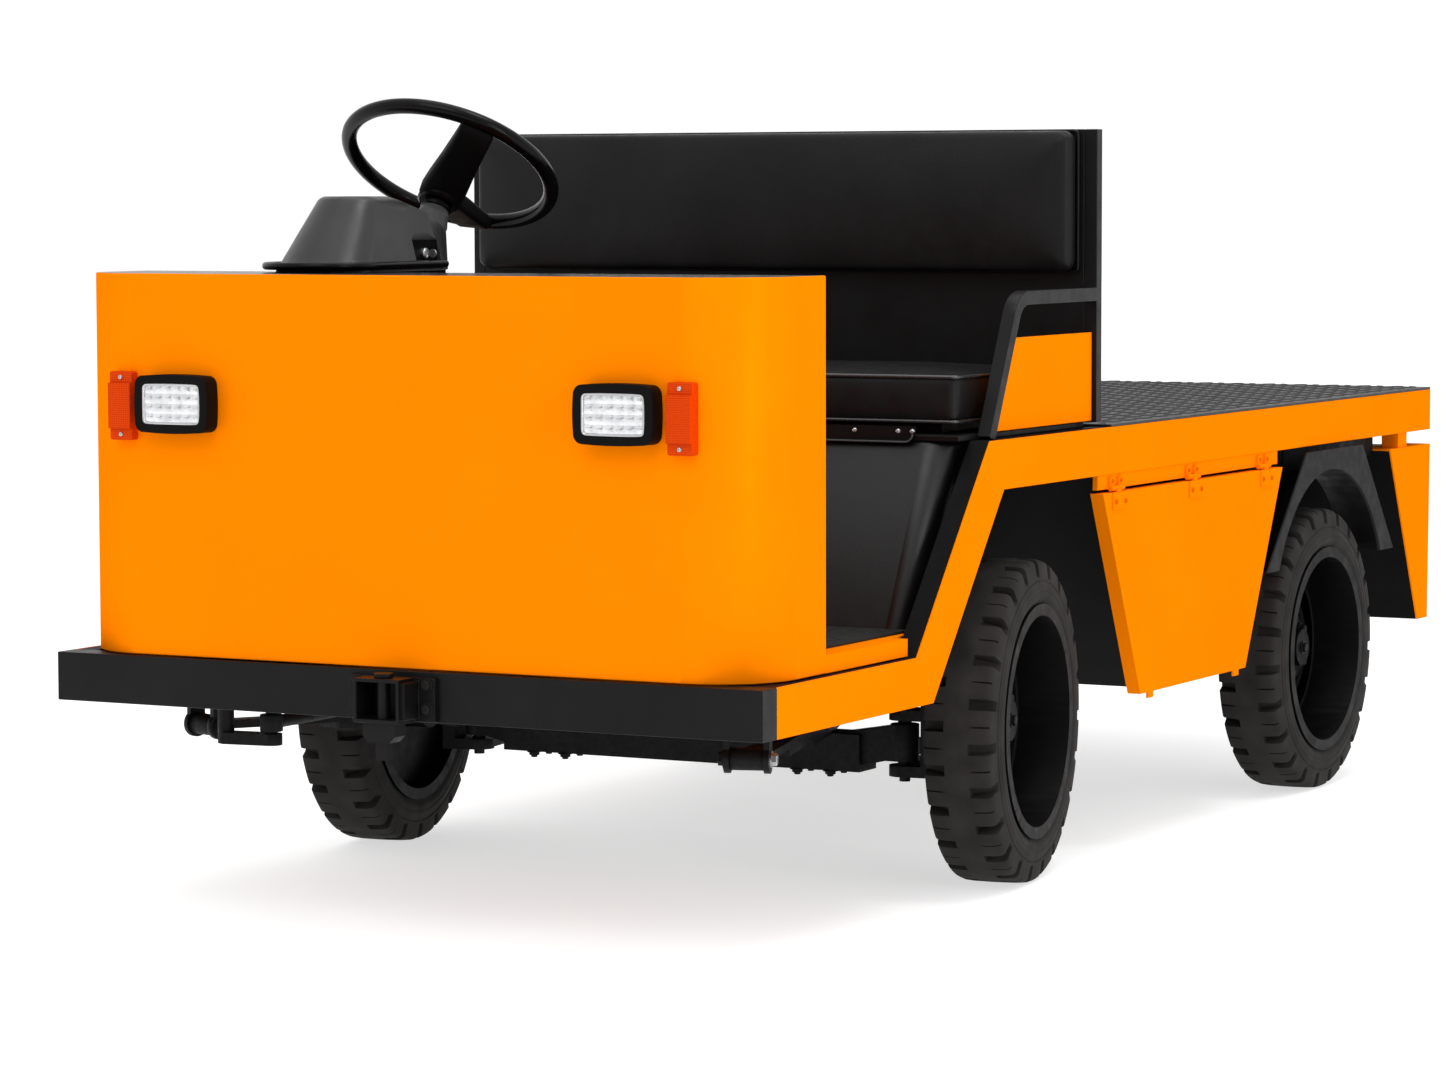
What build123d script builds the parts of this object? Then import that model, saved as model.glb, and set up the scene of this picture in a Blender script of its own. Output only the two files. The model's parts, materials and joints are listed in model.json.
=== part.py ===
from build123d import *
from math import atan, cos, degrees, radians, sin, tan
import os

# A battery platform truck in millimetres.
# +X is forward, +Y is the truck's left, +Z is up and Z = 0 is the floor.
# Lengths along the truck are stations: distances behind the bumper's front face.

# Overall sizes
FRAME_WIDTH = 1100.0
FRONT_AXLE = 811.0
WHEELBASE = 1191.0
REAR_OVERHANG = 546.0
HITCH_REACH = 48.0
REAR_AXLE = FRONT_AXLE + WHEELBASE
DECK_END = REAR_AXLE + REAR_OVERHANG
FACE_X = (DECK_END - HITCH_REACH) / 2
HALF = FRAME_WIDTH / 2

# Side profile: sill, leaning pillar and bed rail
SILL_BOTTOM = 292.0
SILL_HEIGHT = 67.0
DECK_HEIGHT = 642.0
RAIL_HEIGHT = 70.5
PILLAR_FOOT = 457.0
PILLAR_HEAD = 694.0
PILLAR_REAR_FOOT = 507.0
PILLAR_REAR_HEAD = 738.5
PANEL_T = 4.0
SIDE_TUBE = 30.0
SILL_TOP = SILL_BOTTOM + SILL_HEIGHT
RAIL_BOTTOM = DECK_HEIGHT - RAIL_HEIGHT
FRAME_OUT = HALF - PANEL_T
FRAME_IN = FRAME_OUT - SIDE_TUBE

# Bumper and tow receiver
BUMPER_DEPTH = 41.0
RECEIVER_WIDTH = 71.0
RECEIVER_TALL = 59.0
RECEIVER_LIFT = 1.0
RECEIVER_WALL = 5.0
HITCH_PLATE_WIDTH = 134.0
HITCH_PLATE_T = 8.0
HITCH_SIDE_T = 6.0
PIN_RADIUS = 9.0
PIN_CLEARANCE = 0.5
PIN_HEAD_RADIUS = 13.0
PIN_HEAD_T = 6.0
KEEPER_WIDTH = 50.0
KEEPER_DEPTH = 26.0
KEEPER_HEIGHT = 26.0
TONGUE_WIDTH = 18.0
TONGUE_DEPTH = 14.0
TONGUE_DROP = 24.0
RECEIVER_BOTTOM = SILL_BOTTOM + RECEIVER_LIFT
RECEIVER_TOP = RECEIVER_BOTTOM + RECEIVER_TALL
PIN_STATION = -(HITCH_REACH + HITCH_PLATE_T) / 2

# Cowl, dash and floor
COWL_FRONT = 9.0
COWL_INSET = 13.0
COWL_RADIUS = 110.0
COWL_TOP = 882.0
COWL_REAR = 205.0
SHEET = 3.0
PAN_LIP_BOTTOM = 361.0
PAN_HEIGHT = 24.0
PAN_LIP_GAP = 5.0
DASH_T = 8.0
MAT_FRONT = 252.0
MAT_T = 4.0
MAT_GAP = 4.0
COWL_HALF = HALF - COWL_INSET
PAN_TOP = PAN_LIP_BOTTOM + PAN_HEIGHT

# Seat
SEAT_BOX_FOOT = 531.0
SEAT_BOX_HEAD = 659.0
SEAT_BOX_GAP = 16.0
SEAT_BOX_RADIUS = 36.0
SEAT_BOX_WALL = 6.0
SEAT_BOX_RETURN = 45.0
SEAT_BOX_CROWN = 12.0
SEAT_BASE_T = 8.0
CUSHION_FRONT = 690.0
CUSHION_DEPTH = 362.0
CUSHION_GAP = 18.0
CUSHION_ROUND = 10.0
CUSHION_BOTTOM = 663.0
CUSHION_T = 72.0
BACK_FRONT = 1052.0
BACK_T = 44.0
BACK_GAP = 6.0
BACK_BOTTOM = 870.0
BACK_TOP = 1082.0
BACK_PANEL_T = 4.0
SOFT_GAP = 0.3
SEAT_BOX_HALF = FRAME_IN - SEAT_BOX_GAP

# Arm rails
ARM_TUBE = 20.0
ARM_INSET = 14.0
ARM_FOOT = 728.0
ARM_KNEE = 826.0
ARM_TOP = 849.0
ARM_BEND = 45.0
ARM_PANEL_T = 3.0
ARM_PANEL_TOP = 783.0
ARM_PANEL_GAP = 2.0
ARM_OUT = HALF - ARM_INSET
ARM_IN = ARM_OUT - ARM_TUBE
CUSHION_HALF = ARM_IN - CUSHION_GAP
BACK_HALF = ARM_IN - BACK_GAP

# Steering wheel and column
STEER_INSET = 325.0
STEER_Y = STEER_INSET - HALF
HUB_STATION = 492.0
HUB_HEIGHT = 993.0
COLUMN_SLOPE = 57.0
COLUMN_RADIUS = 17.0
RIM_RADIUS = 151.0
RIM_TUBE = 11.0
RIM_DISH = 45.0
STEER_HUB_RADIUS = 27.0
STEER_HUB_LENGTH = 44.0
SPOKE_ANGLES = (100.0, 315.0)
SPOKE_T = 5.0
SPOKE_WIDTH = 46.0
SPOKE_RIB_T = 4.0
SPOKE_RIB_HEIGHT = 16.0
HUB_GAP = 0.5
BOOT_RADII = (25.0, 19.0)
BOOT_LOW = -66.0
BOOT_LENGTH = 34.0

# Steering pod
POD_PLAN = (
    # height above the dash, front, end of the round front, end of the sides, rear, half-width, rear half-width
    (0.0, 120.0, 190.0, 385.0, 470.0, 72.0, 24.0),
    (104.0, 212.0, 258.0, 365.0, 466.0, 45.0, 21.0),
)
POD_ROUND = 16.0
POD_CREST = 285.0
POD_TAIL_DROP = 50.0
BRIM_REACH = 16.0
BRIM_LIFT = 6.0
BRIM_T = 5.0
BRIM_END = 236.0
KEY_PANEL = (314.0, 380.0)
KEY_PANEL_TOP = 44.0
KEY_PANEL_DEPTH = 12.0
KEY_PANEL_FOOT = 6.0

# Lamps
LAMP_INSET = 194.0
LAMP_HEIGHT = 706.0
LAMP_WIDTH = 118.0
LAMP_TALL = 80.0
LAMP_SWELL = 2.5
LAMP_DEPTH = 28.0
LAMP_RADIUS = 13.0
LENS_MARGIN = 11.0
LENS_RADIUS = 6.0
LENS_INSET = 4.0
SIGNAL_INSET = 103.0
SIGNAL_HEIGHT = 702.0
SIGNAL_WIDTH = 36.0
SIGNAL_TALL = 94.0
SIGNAL_DEPTH = 19.0
SIGNAL_STEP = 5.0
SIGNAL_LENS_TALL = 62.0
SIGNAL_RADIUS = 4.0
LAMP_Y = COWL_HALF - LAMP_INSET
SIGNAL_Y = COWL_HALF - SIGNAL_INSET

# Pedals
PEDALS = (
    # distance to the left of the column, width
    (75.0, 60.0),
    (-75.0, 70.0),
)
PEDAL_FOOT = 150.0
PEDAL_REACH = 90.0
PEDAL_RISE = 120.0
PEDAL_T = 10.0

# Wheels
TYRE_RADIUS = 233.0
TYRE_WIDTH = 112.0
TYRE_PROUD = 15.0
TREAD_WIDTH = 96.0
LUG_COUNT = 23
LUG_SLOT_WIDTH = 15.0
LUG_SLOT_LENGTH = 30.0
LUG_SLOT_DEPTH = 13.0
LUG_SLOT_FOOT = 28.0
SIDEWALL_RADIUS = 178.0
BEAD_RADIUS = 160.0
BEAD_WIDTH = 92.0
RIM_WALL = 8.0
FLANGE_RADIUS = 169.0
FLANGE_T = 4.0
DISC_OFFSET = -22.0
DISC_T = 9.0
HUB_RADIUS = 58.0
HUB_INNER = -70.0
HUB_OUTER = -8.0
CAP_RADIUS = 30.0
CAP_OUTER = 12.0
SPINDLE_RADIUS = 21.0
RUNNING_FIT = 0.05
HUB_SPACE = 1.0
TREAD_SIDES = 2 * LUG_COUNT
TYRE_FACE = HALF + TYRE_PROUD
WHEEL_Y = TYRE_FACE - TYRE_WIDTH / 2

# Front axle and steering linkage
KINGPIN_INSET = 149.0
KINGPIN_RADIUS = 10.0
KINGPIN_CAP = 15.0
KINGPIN_CAP_ROUND = 6.0
BEAM_BOTTOM = 150.0
BEAM_HEIGHT = 55.0
BEAM_DEPTH = 56.0
BEAM_GAP = 60.0
NECK_DEPTH = 40.0
BOSS_RADIUS = 21.0
BOSS_BOTTOM = 168.0
BOSS_HEIGHT = 54.0
EAR_GAP = 6.0
EAR_T = 16.0
EAR_RADIUS = 23.0
WEB_INNER = 31.0
WEB_T = 20.0
WEB_TOP = 264.0
ARM_WIDTH = 30.0
TIE_ARM = 110.0
DRAG_ARM = 70.0
STUD_RADIUS = 8.0
STUD_HEIGHT = 30.0
EYE_RADIUS = 16.0
EYE_HEIGHT = 24.0
EYE_LIFT = 3.0
TIE_RADIUS = 10.0
DRAG_RADIUS = 9.0
PARKED_STEER = 7.7
PITMAN_STATION = 131.0
PITMAN_SHAFT = 12.0
STEER_BOX = (58.0, 168.0)
STEER_BOX_OUT = 40.0
STEER_BOX_IN = 29.0
KINGPIN_Y = WHEEL_Y - KINGPIN_INSET
BEAM_HALF = KINGPIN_Y - BEAM_GAP
STEER_BOX_Y = (-KINGPIN_Y - STEER_BOX_OUT, STEER_Y + STEER_BOX_IN)
BOSS_TOP = BOSS_BOTTOM + BOSS_HEIGHT
TOP_EAR = BOSS_TOP + EAR_GAP
LOW_EAR = BOSS_BOTTOM - EAR_GAP - EAR_T

# Springs
FRONT_EYE_STATION = 188.0
FRONT_EYE_INSET = 120.0
FRONT_EYE_HEIGHT = 244.0
FRONT_SEAT_INSET = 138.0
FRONT_SHACKLE = 1040.0
LEAF_WIDTH = 45.0
LEAF_T = 10.0
LEAF_COUNT = 3
SPRING_EYE_RADIUS = 15.0
REAR_SPRING_INSET = 209.0
REAR_SPRING_HALF = 227.0
REAR_EYE_HEIGHT = 330.0
FRONT_SHACKLE_HEIGHT = 256.0
HANGER_T = 8.0
HANGER_GAP = 0.3
HANGER_WIDTH = 26.0
HANGER_DISC = 19.0
FRONT_EYE = (FRONT_EYE_STATION, HALF - FRONT_EYE_INSET, FRONT_EYE_HEIGHT)
FRONT_SEAT_Y = KINGPIN_Y - FRONT_SEAT_INSET
SPRING_SPREAD = (FRONT_EYE[1] - FRONT_SEAT_Y) / (FRONT_AXLE - FRONT_EYE[0])
SHACKLE_Y = FRONT_SEAT_Y - (FRONT_SHACKLE - FRONT_AXLE) * SPRING_SPREAD
REAR_SPRING_Y = WHEEL_Y - REAR_SPRING_INSET

# Frame members
MEMBER = 40.0
CENTRE_RAIL_LAP = 8.5
CENTRE_RAIL_WIDTH = 50.0
CENTRE_RAIL_HEIGHT = 60.0
CENTRE_RAIL_TAIL = 50.0
HANGER_CROSS = 168.0
FLOOR_CROSS = 430.0
REAR_RAIL_WIDTH = 50.0
REAR_RAIL_BOTTOM = 370.0
REAR_RAIL_HEIGHT = 60.0
REAR_RAIL_AHEAD = 250.0
REAR_RAIL_SHORT = 48.0
REAR_UPRIGHT_AHEAD = 172.0
REAR_UPRIGHT_SHORT = 88.0
BED_FIRST_CROSS = 780.0
BED_BAYS = 6
CENTRE_RAIL = (SHACKLE_Y - CENTRE_RAIL_LAP, SHACKLE_Y - CENTRE_RAIL_LAP + CENTRE_RAIL_WIDTH)
CENTRE_RAIL_END = FRONT_SHACKLE + CENTRE_RAIL_TAIL
REAR_RAIL = (REAR_AXLE - REAR_RAIL_AHEAD, DECK_END - REAR_RAIL_SHORT)
REAR_UPRIGHTS = (REAR_AXLE - REAR_UPRIGHT_AHEAD, DECK_END - REAR_UPRIGHT_SHORT)
BED_MAIN_CROSS = CENTRE_RAIL_END - MEMBER
BED_BAY = (DECK_END - REAR_UPRIGHT_SHORT - BED_MAIN_CROSS) / BED_BAYS

# Battery tray and side doors
DOOR_FRONT = 1075.0
DOOR_REAR_GAP = 194.0
DOOR_FRONT_RAKE = 145.0
DOOR_REAR_RAKE = 158.0
DOOR_STAND = 7.0
DOOR_RETURN = 18.0
DOOR_DROP = 6.0
TRAY_SHIFT = 35.0
TRAY_REAR_LAP = 7.0
TRAY_BOTTOM = 240.0
TRAY_INSET = 28.0
TRAY_WALL = 6.0
BATTERY_INSET = 32.0
BATTERY_HEIGHT = 270.0
BATTERY_GAP = 12.0
HEADER_T = 8.0
HINGE_RADIUS = 4.0
HINGE_PIN = 2.05
HINGE_HALF = 24.0
HINGE_KNUCKLE = 8.0
HINGE_PLAY = 0.5
HINGE_FRONT = 62.0
HINGE_REAR = 71.0
HINGE_STAND = 2.0
HINGE_DROP = 21.0
LEAF_PLATE_WIDTH = 56.0
LEAF_PLATE_TALL = 26.0
LEAF_PLATE_T = 2.0
LATCH_WIDTH = 22.0
LATCH_DROP = 9.0
LATCH_INSET = 40.0
DOOR_HEAD = (DOOR_FRONT, REAR_AXLE - DOOR_REAR_GAP)
DOOR_FOOT = (DOOR_HEAD[0] + DOOR_FRONT_RAKE, DOOR_HEAD[1] - DOOR_REAR_RAKE)
TRAY_TOP = (DOOR_HEAD[0] + TRAY_SHIFT, DOOR_HEAD[1] + TRAY_REAR_LAP)
TRAY_FOOT = (DOOR_FOOT[0] + TRAY_SHIFT, DOOR_FOOT[1])
TRAY_HALF = HALF - TRAY_INSET
BATTERY_HALF = TRAY_HALF - BATTERY_INSET
HINGE_HEIGHT = RAIL_BOTTOM - HINGE_DROP
HEADER_BOTTOM = HINGE_HEIGHT - HINGE_PLAY
DOOR_TOP = HEADER_BOTTOM - HINGE_RADIUS - 2 * HINGE_PLAY
DOOR_BOTTOM = TRAY_BOTTOM - DOOR_DROP
HINGE_Y = HALF + HINGE_STAND
HINGE_ENDS = (DOOR_HEAD[0] + HINGE_FRONT, DOOR_HEAD[1] - HINGE_REAR)
HINGE_STATIONS = (HINGE_ENDS[0], sum(HINGE_ENDS) / 2, HINGE_ENDS[1])

# Rear arch flares and guards
FLARE_PROUD = 12.0
FLARE_T = 4.0
FLARE_LIP = 70.0
FLARE_RADIUS = 262.0
FLARE_SHIFT = 22.0
FLARE_CENTRE_HEIGHT = 268.0
FLARE_FOOT = 378.0
FLARE_TOP = 563.0
FLARE_FRONT_REACH = (271.0, 94.0)
FLARE_REAR_REACH = (171.0, 326.0)
GUARD_TOP = 546.0
GUARD_BOTTOM = 240.0
GUARD_HEAD_REACH = (206.0, 1.0)
GUARD_FOOT_REACH = (58.0, 8.0)
GUARD_DEPTH = 190.0
GUARD_SKIN = 3.0
GUARD_LIP = 60.0
GUARD_LUG_REACH = (156.0, 112.0)
FLARE_FACE = HALF + FLARE_PROUD
FLARE_CENTRE = (REAR_AXLE + FLARE_SHIFT, FLARE_CENTRE_HEIGHT)
FLARE_FRONT = (REAR_AXLE - FLARE_FRONT_REACH[0], REAR_AXLE - FLARE_FRONT_REACH[1])
FLARE_REAR = (REAR_AXLE + FLARE_REAR_REACH[0], REAR_AXLE + FLARE_REAR_REACH[1])
GUARD_HEAD = (DECK_END - GUARD_HEAD_REACH[0], DECK_END - GUARD_HEAD_REACH[1])
GUARD_FOOT = (DECK_END - GUARD_FOOT_REACH[0], DECK_END - GUARD_FOOT_REACH[1])
GUARD_LUG = (DECK_END - GUARD_LUG_REACH[0], DECK_END - GUARD_LUG_REACH[1])

# Deck
PLATE_T = 4.0
PLATE_START = 1120.0

# Drive
AXLE_TUBE = 38.0
DRUM_RADIUS = 96.0
DRUM_LAP = 10.0
DRUM_T = 26.0
GEARBOX_RADIUS = 112.0
GEARBOX_HALF = 75.0
MOTOR_RADIUS = 92.0
MOTOR_LENGTH = 150.0
DRUM_FACE = WHEEL_Y + HUB_INNER - HUB_SPACE - DRUM_LAP


# The side view: X forward and Z up, drawn at Y = 0
SIDE_VIEW = Plane(origin=(0, 0, 0), x_dir=(1, 0, 0), z_dir=(0, -1, 0))


def at(station):
    """X of a station measured behind the bumper's face."""
    return FACE_X - station


def block(stations, ys, heights):
    """A box between two stations, two Y values and two heights."""
    size_x = abs(stations[1] - stations[0])
    size_y = abs(ys[1] - ys[0])
    size_z = abs(heights[1] - heights[0])
    middle = (at(sum(stations) / 2), sum(ys) / 2, sum(heights) / 2)
    return Pos(*middle) * Box(size_x, size_y, size_z)


def side_plate(points, ys):
    """A side-view outline of (station, height) points, drawn out between two Y values."""
    corners = [(at(s), ys[0], z) for s, z in points]
    face = make_face(Polyline(*corners, close=True))
    return extrude(face, amount=ys[1] - ys[0], dir=(0, 1, 0))


def upright(station, y, radius, heights):
    """A vertical cylinder."""
    height = heights[1] - heights[0]
    return Pos(at(station), y, sum(heights) / 2) * Cylinder(radius, height)


def crosswise(station, height, radius, ys):
    """A cylinder along Y."""
    length = abs(ys[1] - ys[0])
    return Pos(at(station), sum(ys) / 2, height) * Rot(90, 0, 0) * Cylinder(radius, length)


def pair(shape):
    """A left-hand piece and its mirror image, as two separate solids."""
    return Compound([*shape.solids(), *mirror(shape, about=Plane.XZ).solids()])


def side_outline():
    return [
        (BUMPER_DEPTH, SILL_BOTTOM),
        (PILLAR_REAR_FOOT, SILL_BOTTOM),
        (PILLAR_REAR_HEAD, RAIL_BOTTOM),
        (DECK_END - PANEL_T, RAIL_BOTTOM),
        (DECK_END - PANEL_T, DECK_HEIGHT),
        (PILLAR_HEAD, DECK_HEIGHT),
        (PILLAR_FOOT, SILL_TOP),
        (BUMPER_DEPTH, SILL_TOP),
    ]


# Frame and plates


def side_frames():
    return pair(side_plate(side_outline(), (FRAME_IN, FRAME_OUT)))


def side_panels():
    return pair(side_plate(side_outline(), (FRAME_OUT, HALF)))


def tail_panel():
    return block((DECK_END - PANEL_T, DECK_END), (-HALF, HALF), (RAIL_BOTTOM, DECK_HEIGHT))


def floor_frame():
    """Cross members, centre rails and the front spring hangers."""
    inner = (-FRAME_IN, FRAME_IN)
    rail_top = SILL_BOTTOM + CENTRE_RAIL_HEIGHT
    pan_seat = PAN_TOP - SHEET
    body = block((HANGER_CROSS, HANGER_CROSS + MEMBER), inner, (SILL_BOTTOM, pan_seat))
    body += block((FLOOR_CROSS, FLOOR_CROSS + MEMBER), inner, (SILL_BOTTOM, pan_seat))
    last = (CENTRE_RAIL_END - MEMBER, CENTRE_RAIL_END)
    body += block(last, (-CENTRE_RAIL[1], CENTRE_RAIL[1]), (SILL_BOTTOM, rail_top))
    for side in (1, -1):
        rail = (side * CENTRE_RAIL[0], side * CENTRE_RAIL[1])
        body += block((BUMPER_DEPTH, CENTRE_RAIL_END), rail, (SILL_BOTTOM, rail_top))
        body += block(last, rail, (rail_top, RAIL_BOTTOM))
    ears = hanger_ears(FRONT_EYE[0], FRONT_EYE[2])
    ears += hanger_ears(FRONT_SHACKLE, FRONT_SHACKLE_HEIGHT)
    for ear in ears:
        body += front_spring_frame() * ear
        body += mirror(front_spring_frame() * ear, about=Plane.XZ)
    return body


def front_spring_frame():
    """The left front spring's own frame: on the axle, turned out along the splayed spring."""
    return Pos(at(FRONT_AXLE), FRONT_SEAT_Y, 0) * Rot(0, 0, spring_splay())


def spring_splay():
    return degrees(atan(SPRING_SPREAD))


def hanger_ears(station, height):
    """Two round-ended ears beside a front spring's eye, in the spring's own frame."""
    reach = (FRONT_AXLE - station) / cos(radians(spring_splay()))
    inside = LEAF_WIDTH / 2 + HANGER_GAP
    top = SILL_BOTTOM + MEMBER / 4
    ears = []
    for side in (1, -1):
        middle = side * (inside + HANGER_T / 2)
        plate = Pos(reach, middle, (height + top) / 2) * Box(HANGER_WIDTH, HANGER_T, top - height)
        plate += Pos(reach, middle, height) * Rot(90, 0, 0) * Cylinder(HANGER_DISC, HANGER_T)
        ears.append(plate)
    return ears


def bed_frame():
    """Cross members and two long members under the deck."""
    inner = (-FRAME_IN, FRAME_IN)
    heights = (RAIL_BOTTOM, DECK_HEIGHT)
    body = block((BED_FIRST_CROSS, BED_FIRST_CROSS + MEMBER), inner, heights)
    for index in range(BED_BAYS + 1):
        station = BED_MAIN_CROSS + index * BED_BAY
        body += block((station, station + MEMBER), inner, heights)
    for side in (1, -1):
        middle = (side * REAR_SPRING_Y - MEMBER / 2, side * REAR_SPRING_Y + MEMBER / 2)
        body += block((BED_FIRST_CROSS, DECK_END - PANEL_T), middle, heights)
    return body


def rear_rails():
    """The rail above each rear spring, its uprights and the spring's hanger ears."""
    rail = (REAR_SPRING_Y - REAR_RAIL_WIDTH / 2, REAR_SPRING_Y + REAR_RAIL_WIDTH / 2)
    rail_top = REAR_RAIL_BOTTOM + REAR_RAIL_HEIGHT
    body = block(REAR_RAIL, rail, (REAR_RAIL_BOTTOM, rail_top))
    for station in REAR_UPRIGHTS:
        body += block((station, station + MEMBER), rail, (rail_top, RAIL_BOTTOM))
    inside = LEAF_WIDTH / 2 + HANGER_GAP
    for station in (REAR_AXLE - REAR_SPRING_HALF, REAR_AXLE + REAR_SPRING_HALF):
        for side in (1, -1):
            near = REAR_SPRING_Y + side * inside
            ys = (near, near + side * HANGER_T)
            ends = (station - MEMBER / 2, station + MEMBER / 2)
            body += block(ends, ys, (REAR_EYE_HEIGHT, rail_top))
            body += crosswise(station, REAR_EYE_HEIGHT, MEMBER / 2, ys)
    return pair(body)


def bumper():
    """A closed box bar across the front."""
    return block((0, BUMPER_DEPTH), (-HALF, HALF), (SILL_BOTTOM, SILL_TOP))


def tow_hitch():
    """A square receiver between side plates, on a flange that bolts to the bumper."""
    half = RECEIVER_WIDTH / 2
    inside = half - RECEIVER_WALL
    outside = half + HITCH_SIDE_T
    plate_half = HITCH_PLATE_WIDTH / 2
    heights = (RECEIVER_BOTTOM, RECEIVER_TOP)
    mouth = (RECEIVER_BOTTOM + RECEIVER_WALL, RECEIVER_TOP - RECEIVER_WALL)
    body = block((-HITCH_PLATE_T, 0), (-plate_half, plate_half), heights)
    body += block((-HITCH_REACH, -HITCH_PLATE_T), (-half, half), heights)
    body += block((RECEIVER_WALL - HITCH_REACH, -HITCH_PLATE_T), (-outside, outside), mouth)
    body -= block((-HITCH_REACH, 0), (-inside, inside), mouth)
    return body - upright(PIN_STATION, 0, PIN_RADIUS + PIN_CLEARANCE, heights)


def hitch_pin():
    """A drop pin with a flat head, and its keeper with a hanging tongue below the receiver."""
    keeper_top = RECEIVER_BOTTOM - PIN_CLEARANCE
    keeper_bottom = keeper_top - KEEPER_HEIGHT
    body = upright(PIN_STATION, 0, PIN_RADIUS, (keeper_bottom, RECEIVER_TOP))
    body += upright(PIN_STATION, 0, PIN_HEAD_RADIUS, (RECEIVER_TOP, RECEIVER_TOP + PIN_HEAD_T))
    keeper = Box(KEEPER_DEPTH, KEEPER_WIDTH, KEEPER_HEIGHT)
    keeper = chamfer(keeper.edges().filter_by(Axis.X).group_by(Axis.Z)[0], KEEPER_HEIGHT / 3)
    body += Pos(at(PIN_STATION), 0, keeper_top - KEEPER_HEIGHT / 2) * keeper
    tongue = Box(TONGUE_DEPTH, TONGUE_WIDTH, TONGUE_DROP)
    return body + Pos(at(PIN_STATION), 0, keeper_bottom - TONGUE_DROP / 2) * tongue


def deck_plate():
    return block((PLATE_START, DECK_END), (-HALF, HALF), (DECK_HEIGHT, DECK_HEIGHT + PLATE_T))


# Cowl, dash and floor


def cowl_plan(inset, rear):
    """The cowl's U outline in plan, moved in by a distance, as a face on the floor."""
    front = at(COWL_FRONT + inset)
    half = COWL_HALF - inset
    radius = COWL_RADIUS - inset
    back = at(rear)
    path = Polyline((back, half), (front - radius, half))
    corner_in = radius * (1 - cos(radians(45)))
    left = ThreePointArc((front - radius, half), (front - corner_in, half - corner_in), (front, half - radius))
    nose = Line((front, half - radius), (front, radius - half))
    right = ThreePointArc((front, radius - half), (front - corner_in, corner_in - half), (front - radius, -half))
    close = Polyline((front - radius, -half), (back, -half), (back, half))
    return make_face([path, left, nose, right, close])


def cowl():
    outer = extrude(cowl_plan(0, COWL_REAR), COWL_TOP - PAN_LIP_BOTTOM)
    inner = extrude(cowl_plan(SHEET, COWL_REAR + SHEET), COWL_TOP - PAN_LIP_BOTTOM)
    return Pos(0, 0, PAN_LIP_BOTTOM) * (outer - inner)


def dash():
    """The shelf that closes the top of the cowl."""
    return Pos(0, 0, COWL_TOP - DASH_T) * extrude(cowl_plan(SHEET, COWL_REAR), DASH_T)


def floor_pan():
    """A sheet floor with edges turned down over the side frames."""
    lip_end = PILLAR_FOOT - PAN_LIP_GAP
    outer = extrude(cowl_plan(SHEET, lip_end), PAN_HEIGHT)
    hollow = extrude(cowl_plan(2 * SHEET, lip_end + SHEET), PAN_HEIGHT - SHEET)
    pan = outer - hollow
    for side in (1, -1):
        lip_y = (side * (COWL_HALF - SHEET), side * COWL_HALF)
        pan += block((COWL_REAR, lip_end), lip_y, (0, PAN_HEIGHT))
    tongue = FRAME_IN - PAN_LIP_GAP
    rear = SEAT_BOX_FOOT + SEAT_BOX_WALL
    pan += block((lip_end, rear), (-tongue, tongue), (PAN_HEIGHT - SHEET, PAN_HEIGHT))
    return Pos(0, 0, PAN_LIP_BOTTOM) * pan


def floor_mat():
    """A rubber mat on the floor, from the pedals to the kick panel."""
    ends = (MAT_FRONT, SEAT_BOX_FOOT - MAT_GAP)
    return block(ends, (-SEAT_BOX_HALF, SEAT_BOX_HALF), (PAN_TOP, PAN_TOP + MAT_T))


# Seat


def seat_box_solid(inset):
    """A leaning block with round front corners and a rounded top edge, moved in by a distance."""
    outline = [
        (SEAT_BOX_FOOT + inset, PAN_TOP),
        (SEAT_BOX_HEAD + inset, DECK_HEIGHT),
        (SEAT_BOX_HEAD + SEAT_BOX_RETURN + inset, DECK_HEIGHT),
        (SEAT_BOX_FOOT + SEAT_BOX_RETURN + inset, PAN_TOP),
    ]
    half = SEAT_BOX_HALF - inset
    body = side_plate(outline, (-half, half))
    steep = body.edges().filter_by(lambda edge: abs(edge.tangent_at(0).Z) > 0.5)
    return fillet(steep.sort_by(Axis.X)[-2:], SEAT_BOX_RADIUS - inset)


def seat_box():
    """The moulded kick panel: a leaning front with rounded corners, open behind and below."""
    body = seat_box_solid(0)
    crown = body.faces().sort_by(Axis.Z)[-1].edges().sort_by(Axis.X)[1:]
    body = fillet(crown, SEAT_BOX_CROWN)
    return body - seat_box_solid(SEAT_BOX_WALL)


def seat_base():
    """The plate and riser under the cushion."""
    base_half = FRAME_IN
    top = DECK_HEIGHT + SEAT_BASE_T
    ends = (SEAT_BOX_HEAD, BACK_FRONT + BACK_T)
    body = block(ends, (-base_half, base_half), (DECK_HEIGHT, top))
    riser = MEMBER
    outer = (CUSHION_FRONT + riser, CUSHION_FRONT + CUSHION_DEPTH - riser)
    body += block(outer, (riser - CUSHION_HALF, CUSHION_HALF - riser), (top, CUSHION_BOTTOM - SOFT_GAP))
    return body


def seat_cushion():
    ends = (CUSHION_FRONT, CUSHION_FRONT + CUSHION_DEPTH - SOFT_GAP)
    heights = (CUSHION_BOTTOM, CUSHION_BOTTOM + CUSHION_T)
    body = block(ends, (-CUSHION_HALF, CUSHION_HALF), heights)
    return fillet(body.edges().filter_by(Axis.Y).group_by(Axis.Z)[-1], CUSHION_ROUND)


def seat_back():
    ends = (BACK_FRONT, BACK_FRONT + BACK_T - SOFT_GAP)
    body = block(ends, (-BACK_HALF, BACK_HALF), (BACK_BOTTOM, BACK_TOP))
    return fillet(body.edges().filter_by(Axis.Y).group_by(Axis.X)[-1], BACK_T / 4)


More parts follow.
